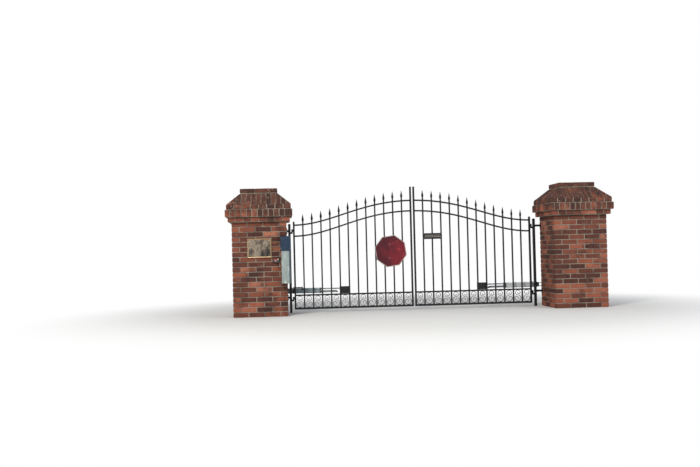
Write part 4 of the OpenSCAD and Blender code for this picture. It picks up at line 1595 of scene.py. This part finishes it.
# %% Plaque
PLAQUE = (320 * MM, 256 * MM)
PLAQUE_Z = 0.935
MOULDING = [(1, 0), (0, 2), (0, 14), (1.5, 18), (4, 20), (6.5, 19), (8, 15.5), (10, 13.5),
            (11.5, 14.5), (12, 11), (12, 0)]
PANEL = [(11, 0), (11, 9), (16, 12), (18, 12), (19.5, 11), (21, 11)]
STUD = (128 * MM, 96 * MM)
plaque_at = facing(FRONT, Vector((0.0, -PIER_HALF, PLAQUE_Z)))


def plaque_levels(profile):
    return [(rectangle(PLAQUE[0] - 2 * inset, PLAQUE[1] - 2 * inset), z)
            for inset, z in in_mm(profile)]


bm = bmesh.new()
ring(bm, plaque_levels(MOULDING), plaque_at)
drawn_piece("plaque_moulding", bm, [gilt], replaces=["plaque_frame"], crisp=25)
bm = bmesh.new()
loft(bm, plaque_levels(PANEL), plaque_at)
drawn_piece("plaque_field", bm, [plaque_bronze], replaces=["plaque"])
studs = front_grid((-STUD[0], STUD[0]), -PIER_HALF - 11 * MM, (PLAQUE_Z - STUD[1], PLAQUE_Z + STUD[1]))
fix("plaque_studs", dome_screw, studs, "root", gilt, size=1.1, seed=2)

# %% [markdown]
# ## The call box
# A dark moulded surround holds a red window with a round pale lens beside it, a pale strip
# under them, and a grille of slots between two pale strips. Moulded plastic has soft edges
# that catch the light, so each of these is an outline lofted through a few levels.

# %% Call box
CALL_BOX = (94 * MM, 62 * MM)
CALL_CORNER = 14 * MM
CALL_PROFILE = [(2, 0), (0, 3), (0, 19), (1.5, 23), (4, 25), (6, 24.5), (7, 21), (8, 20.5)]
PANEL_OUT = 19 * MM
PALE_STRIPS = (in_mm([(44, 5), (-8, -1)]), in_mm([(26, 4), (-4, -21.5)]))
LENS = [(9, 20), (9, 22.5), (7.5, 24), (4, 24.8)]
LENS_AT = (27 * MM, 13 * MM, 0.0)
WINDOW = (52 * MM, 15 * MM)
WINDOW_AT = (-9 * MM, 12 * MM)
call_low, call_high = corners_of("call_box")
call_middle = (call_low + call_high) / 2
call_at = facing(FRONT, Vector((call_middle.x, call_high.y, call_middle.z)))


def call_outline(inset):
    return rectangle(CALL_BOX[0] - 2 * inset, CALL_BOX[1] - 2 * inset,
                     max(CALL_CORNER - inset, 3 * MM), steps=6)


bm = bmesh.new()
loft(bm, [(call_outline(inset), z) for inset, z in in_mm(CALL_PROFILE)], call_at)
drawn_piece("call_box_body", bm, [bezel_dark], replaces=["call_box"], crisp=40)

bm = bmesh.new()
for size, middle in PALE_STRIPS:
    strip = rectangle(*size, 1.5 * MM, middle)
    strip_top = rectangle(size[0] - 1.6 * MM, size[1] - 1.6 * MM, 0.8 * MM, middle)
    loft(bm, [(strip, PANEL_OUT), (strip, 21.2 * MM), (strip_top, 22 * MM)], call_at)
lathe(bm, in_mm(LENS), call_at @ Matrix.Translation(LENS_AT))
drawn_piece("call_box_lens", bm, [bezel_pale], crisp=40)

bm = bmesh.new()
pane = rectangle(*WINDOW, 4 * MM, WINDOW_AT)
pane_top = rectangle(WINDOW[0] - 3 * MM, WINDOW[1] - 3 * MM, 3 * MM, WINDOW_AT)
loft(bm, [(pane, PANEL_OUT), (pane, 22 * MM), (pane_top, 23.6 * MM)], call_at)
drawn_piece("call_box_window", bm, [window_red], crisp=30)
print("call box stands", round((call_high.y - call_low.y) / MM, 1), "mm out")

# %% [markdown]
# The slots of the grille repeat on a grid, so a tiny tree copies one slot along rows and
# columns. As with the bricks, row and column come from the point's index alone. Real slots
# are holes, which a Boolean could cut. Here each slot is a dark bar that stands 0.7 mm
# proud, whose black paints the shade inside the hole. At this size it looks the same, and
# it leaves the surround's mesh clean.

# %% Grille
def grid_tree():
    graph = Graph("slot_grid", {
        "Slot": ("Object", None), "Columns": ("Int", 5), "Rows": ("Int", 2),
        "Column Pitch": ("Float", 0.01), "Row Pitch": ("Float", 0.006),
        "Start": ("Vector", (0.0, 0.0, 0.0)), "Finish": ("Material", None)})
    given = graph.given
    columns = given["Columns"]
    points = graph.node("GeometryNodeMeshLine", None, {"Count": columns * given["Rows"]})
    index = graph.node("GeometryNodeInputIndex") + 0.5
    row = graph.whole(index / columns)
    column = graph.whole(index - row * columns)
    step = graph.node("ShaderNodeCombineXYZ", None,
                      [column * given["Column Pitch"], 0.0, row * given["Row Pitch"]])
    place = graph.vector_math("ADD", step, given["Start"])
    spots = graph.node("GeometryNodeSetPosition", None, {"Geometry": points, "Position": place})
    return graph.finish(graph.realize(graph.copies(spots, given["Slot"])), given["Finish"])


FIRST_SLOT = Vector((-27 * MM, -14.5 * MM, 20.5 * MM))
bm = bmesh.new()
slot = rectangle(7 * MM, 2 * MM, 0.9 * MM)
loft(bm, [(slot, -1 * MM), (slot, 0.7 * MM)], facing(FRONT, Vector((0, 0, 0))))
slot_block = link_block("grille_slot", bm)
# Each slot is a black bar whose colour paints the shade inside the hole.
slots = run_tree(grid_tree(), "call_box_grille", Slot=slot_block, Columns=6, Rows=2,
                 Column_Pitch=10 * MM, Row_Pitch=5 * MM, Start=tuple(call_at @ FIRST_SLOT),
                 Finish=seal_rubber)
bpy.data.objects.remove(slot_block)
add_piece("call_box_grille", slots)
print("grille faces:", len(slots.polygons))

# %% [markdown]
# ## The control cabinet
# It is a folded steel box with a door on two barrel hinges and a round lock. Beside the
# door a dark strip is painted, as the shade on the box's side. Box, door and hinges share
# one paint, so they are drawn into one mesh. The shade strip and the lock differ from
# them, and are pieces of their own.

# %% Cabinet
CABINET_WIDTH = 120 * MM
DOOR = (98 * MM, 436 * MM)
DOOR_T = 4 * MM
SHADE_STRIP = (17 * MM, 440 * MM)
BARREL = 15 * MM
HINGE_UP = 150 * MM
LOCK = [(9, -1), (9, 2.5), (8, 3.5), (5.5, 3.5), (5.5, 2.4), (1, 2.4)]
cabinet_low, cabinet_high = corners_of("control_cabinet")
cabinet_middle = (cabinet_low + cabinet_high) / 2
door_back = cabinet_low.y + DOOR_T


def cabinet_plan(inset):
    depth = cabinet_high.y - cabinet_low.y - DOOR_T - 2 * inset
    return rectangle(CABINET_WIDTH - 2 * inset, depth, 5 * MM,
                     (0.0, cabinet_high.y - inset - depth / 2))


bm = bmesh.new()
loft(bm, [(cabinet_plan(2 * MM), cabinet_low.z), (cabinet_plan(0.0), cabinet_low.z + 2 * MM),
          (cabinet_plan(0.0), cabinet_high.z)], Matrix.Translation((cabinet_middle.x, 0.0, 0.0)))
door_at = facing(FRONT, Vector((cabinet_middle.x - 9 * MM, door_back, cabinet_middle.z)))
plate(bm, *DOOR, 4 * MM, DOOR_T, 1.6 * MM, door_at)
for z in (-HINGE_UP, HINGE_UP):
    for k in range(3):
        barrel = Matrix.Translation((cabinet_low.x + 4 * MM, cabinet_low.y + 1 * MM,
                                     cabinet_middle.z + z + k * BARREL))
        lathe(bm, in_mm([(4, 0), (4.4, 0.6), (4.4, 13.4), (4, 14)]), barrel, 16)
drawn_piece("cabinet_box", bm, [cabinet_paint],
            replaces=["control_cabinet"], crisp=40)

bm = bmesh.new()
# A dark strip beside the door, painted as the shade on the box's side.
shade_strip_at = facing(FRONT, Vector((cabinet_high.x - 9.5 * MM, door_back, cabinet_middle.z)))
plate(bm, *SHADE_STRIP, 2 * MM, DOOR_T - 0.5 * MM, 1.2 * MM, shade_strip_at)
drawn_piece("cabinet_rim", bm, [cabinet_shade_paint])
bm = bmesh.new()
lock = Vector((cabinet_middle.x + 26 * MM, cabinet_low.y, cabinet_middle.z + 20 * MM))
lathe(bm, in_mm(LOCK), facing(FRONT, lock))
box(bm, lock + Vector((-0.8 * MM, -3.3 * MM, -4 * MM)), lock + Vector((0.8 * MM, -2 * MM, 4 * MM)),
    0.3 * MM)
drawn_piece("cabinet_lock", bm, [bolt_zinc], crisp=40)
print("cabinet height:", round((cabinet_high.z - cabinet_low.z) / MM), "mm")

# %% [markdown]
# A slate blue cover is pushed over the cabinet's head. A drip edge runs round its foot, and
# its top falls towards the front to shed the rain.

# %% Cover
COVER_FOOT = [(0.5, -3), (0, -2), (0, 11), (2, 13)]
COVER_HEAD = [(2, -10), (3, -4), (9, 0)]
COVER_FALL = 8 * MM
hood_low, hood_high = corners_of("cabinet_hood")
wide = hood_high.x - hood_low.x
deep = hood_high.y - hood_low.y
hood_middle = (hood_low + hood_high) / 2


def hood_plan(inset):
    return rectangle(wide - 2 * inset, deep - 2 * inset, 5 * MM)


bm = bmesh.new()
levels = [(hood_plan(inset), hood_low.z + z) for inset, z in in_mm(COVER_FOOT)]
levels += [(hood_plan(inset), hood_high.z + z) for inset, z in in_mm(COVER_HEAD)]
loft(bm, levels, Matrix.Translation((hood_middle.x, hood_middle.y, 0.0)))
for vert in bm.verts:
    if vert.co.z > hood_high.z - 11 * MM:
        vert.co.z -= COVER_FALL * (hood_high.y - vert.co.y) / deep
drawn_piece("cabinet_cover", bm, [hood_paint], replaces=["cabinet_hood"], crisp=30)
cover_screws = front_grid((hood_low.x + 14 * MM, hood_high.x - 14 * MM), hood_low.y + 2.4 * MM,
                          (hood_low.z + 26 * MM, hood_high.z - 34 * MM))
fix("cover_screws", dome_screw, cover_screws, "root", bolt_zinc,
    size=0.9, seed=4)

# %% [markdown]
# ## Conduit fittings
# Black conduit loops over the left operator. Each of its ends enters the housing through a
# gland with a six-sided nut, and three ribbed couplings sleeve its upright legs. All of them
# are turned on the lathe helper, and with six sides it gives the nut.

# %% Conduit
GLAND = [(12, -6), (12.6, -5), (12.6, 2.5), (11, 4), (7.6, 4)]
LEG_AT = (128 * MM, 250 * MM)
LEG_SIDE = 50 * MM
GLANDS = ((LEG_AT[0], -25 * MM), (LEG_AT[1], 25 * MM))
COUPLINGS = ((LEG_AT[0], 20 * MM, 38 * MM), (LEG_AT[1], 30 * MM, 40 * MM),
             (LEG_AT[0], -14 * MM, 0.0))
COUPLING_END = 7.2 * MM
COUPLING_RIB = 8.6 * MM
COUPLING_GROOVE = 8.0 * MM


def coupling_profile(height):
    """Four ribs between two plain ends."""
    profile = [(COUPLING_END, 0.0)]
    for k in range(4):
        profile += [(COUPLING_RIB, height * (0.08 + 0.22 * k)),
                    (COUPLING_RIB, height * (0.18 + 0.22 * k)),
                    (COUPLING_GROOVE, height * (0.20 + 0.22 * k))]
    return profile + [(COUPLING_END, height)]


bm = bmesh.new()
conduit_at = along_operator(-1)
for s, z in GLANDS:
    place = (conduit_at @ Matrix.Translation((s, HOUSING[0] / 2, z))
             @ Matrix.Rotation(-math.pi / 2, 4, "X"))
    lathe(bm, in_mm(GLAND), place, 6)
for s, low_z, high_z in COUPLINGS:
    place = conduit_at @ Matrix.Translation((s, LEG_SIDE, low_z))
    lathe(bm, coupling_profile(high_z - low_z), place, 20)
drawn_piece("left_conduit_couplings", bm, [conduit_black], "left_operator", crisp=40)
print("glands:", len(GLANDS), "couplings:", len(COUPLINGS))

# %% [markdown]
# ## Floor and light
# The gate stands alone on white, as in a studio. A white world could do that by itself, but
# it would light the gate too brightly. So this mask finds the rays that end up in the
# picture, and only those meet white. All others meet a dimmer, cooler light.

# %% White for the camera and for reflections
WHITE = (1.0, 1.0, 1.0, 1.0)
WHITE_RAYS = ("Is Camera Ray", "Is Glossy Ray", "Is Transmission Ray")


def white_ray(maker):
    """1 where a ray comes from the camera, a mirror or glass, and 0 elsewhere."""
    path = maker.node("ShaderNodeLightPath")
    found = path.output(WHITE_RAYS[0])
    for kind in WHITE_RAYS[1:]:
        found = maker.math("MAXIMUM", found, path.output(kind))
    return found


print("rays that see white:", len(WHITE_RAYS))

# %% [markdown]
# A pale floor catches the shadow and shows that the gate stands on the ground. Its edge
# would be seen as a line, so away from the gate it fades to the same white.

# %% Floor
FLOOR_PALE = (0.84, 0.84, 0.83, 1.0)
FLOOR_REACH = 60.0
FADE = (2.6, 5.6)


def make_floor_paint():
    paper = Finish("pale_floor", colour=FLOOR_PALE, roughness=0.9)
    from_gate = paper.vector_math("SUBTRACT", paper.place(), (GATE_MIDDLE, 0.0, 0.0))
    distance = paper.vector_math("LENGTH", from_gate, output="Value")
    white = paper.node("ShaderNodeEmission", None, {"Color": WHITE, "Strength": 1.0})
    share = distance.step(*FADE) * white_ray(paper)
    plain = Flow(paper, paper.shader.outputs[0])
    mixed = paper.node("ShaderNodeMixShader", None, [share, plain, white])
    paper.feed(paper.tree.nodes["Material Output"].inputs["Surface"], mixed)
    return paper.material


bm = bmesh.new()
bmesh.ops.create_grid(bm, x_segments=1, y_segments=1, size=FLOOR_REACH)
floor = bpy.data.objects.new("floor", mesh_from(bm, "floor"))
floor.data.materials.append(make_floor_paint())
scene.collection.objects.link(floor)
print("floor fades to white from", FADE[0], "to", FADE[1], "m off the gate's middle")

# %% [markdown]
# The photograph was taken in bright daylight. The world gives an even, slightly blue light
# from all sides, one large lamp from the front left works as a soft sun, and a weaker one
# fills from the right. Both are wide discs, because the width of a lamp is what softens
# the edges of its shadows.

# %% World and lamps
DAYLIGHT = (0.93, 0.96, 1.0, 1.0)
DAYLIGHT_STRENGTH = 0.45
LAMP_AIM = Vector((GATE_MIDDLE, 0.0, 0.9))


def make_world():
    world = bpy.data.worlds.new("soft_studio")
    scene.world = world
    world.use_nodes = True
    air = NodeMaker(world.node_tree)
    background = air.tree.nodes["Background"]
    air.feed(background.inputs["Color"], DAYLIGHT)
    air.feed(background.inputs["Strength"], DAYLIGHT_STRENGTH)
    light = Flow(air, background.outputs[0])
    white = air.node("ShaderNodeBackground", None, {"Color": WHITE})
    mixed = air.node("ShaderNodeMixShader", None, [white_ray(air), light, white])
    air.feed(air.tree.nodes["World Output"].inputs["Surface"], mixed)


def add_lamp(name, place, size, watts, colour):
    data = bpy.data.lights.new(name, "AREA")
    data.shape = "DISK"
    data.size = size
    data.energy = watts
    data.color = colour
    lamp = bpy.data.objects.new(name, data)
    lamp.location = place
    lamp.rotation_euler = (LAMP_AIM - Vector(place)).to_track_quat("-Z", "Y").to_euler()
    scene.collection.objects.link(lamp)


make_world()
add_lamp("soft_sun", place=(-2.5, -9.0, 8.0), size=2.5, watts=760, colour=(1.0, 0.95, 0.87))
add_lamp("right_fill", place=(9.0, -7.0, 4.5), size=4.0, watts=200, colour=(0.9, 0.95, 1.0))
scene.view_settings.view_transform = "Standard"
print("lamps:", len(bpy.data.lights))

# %% [markdown]
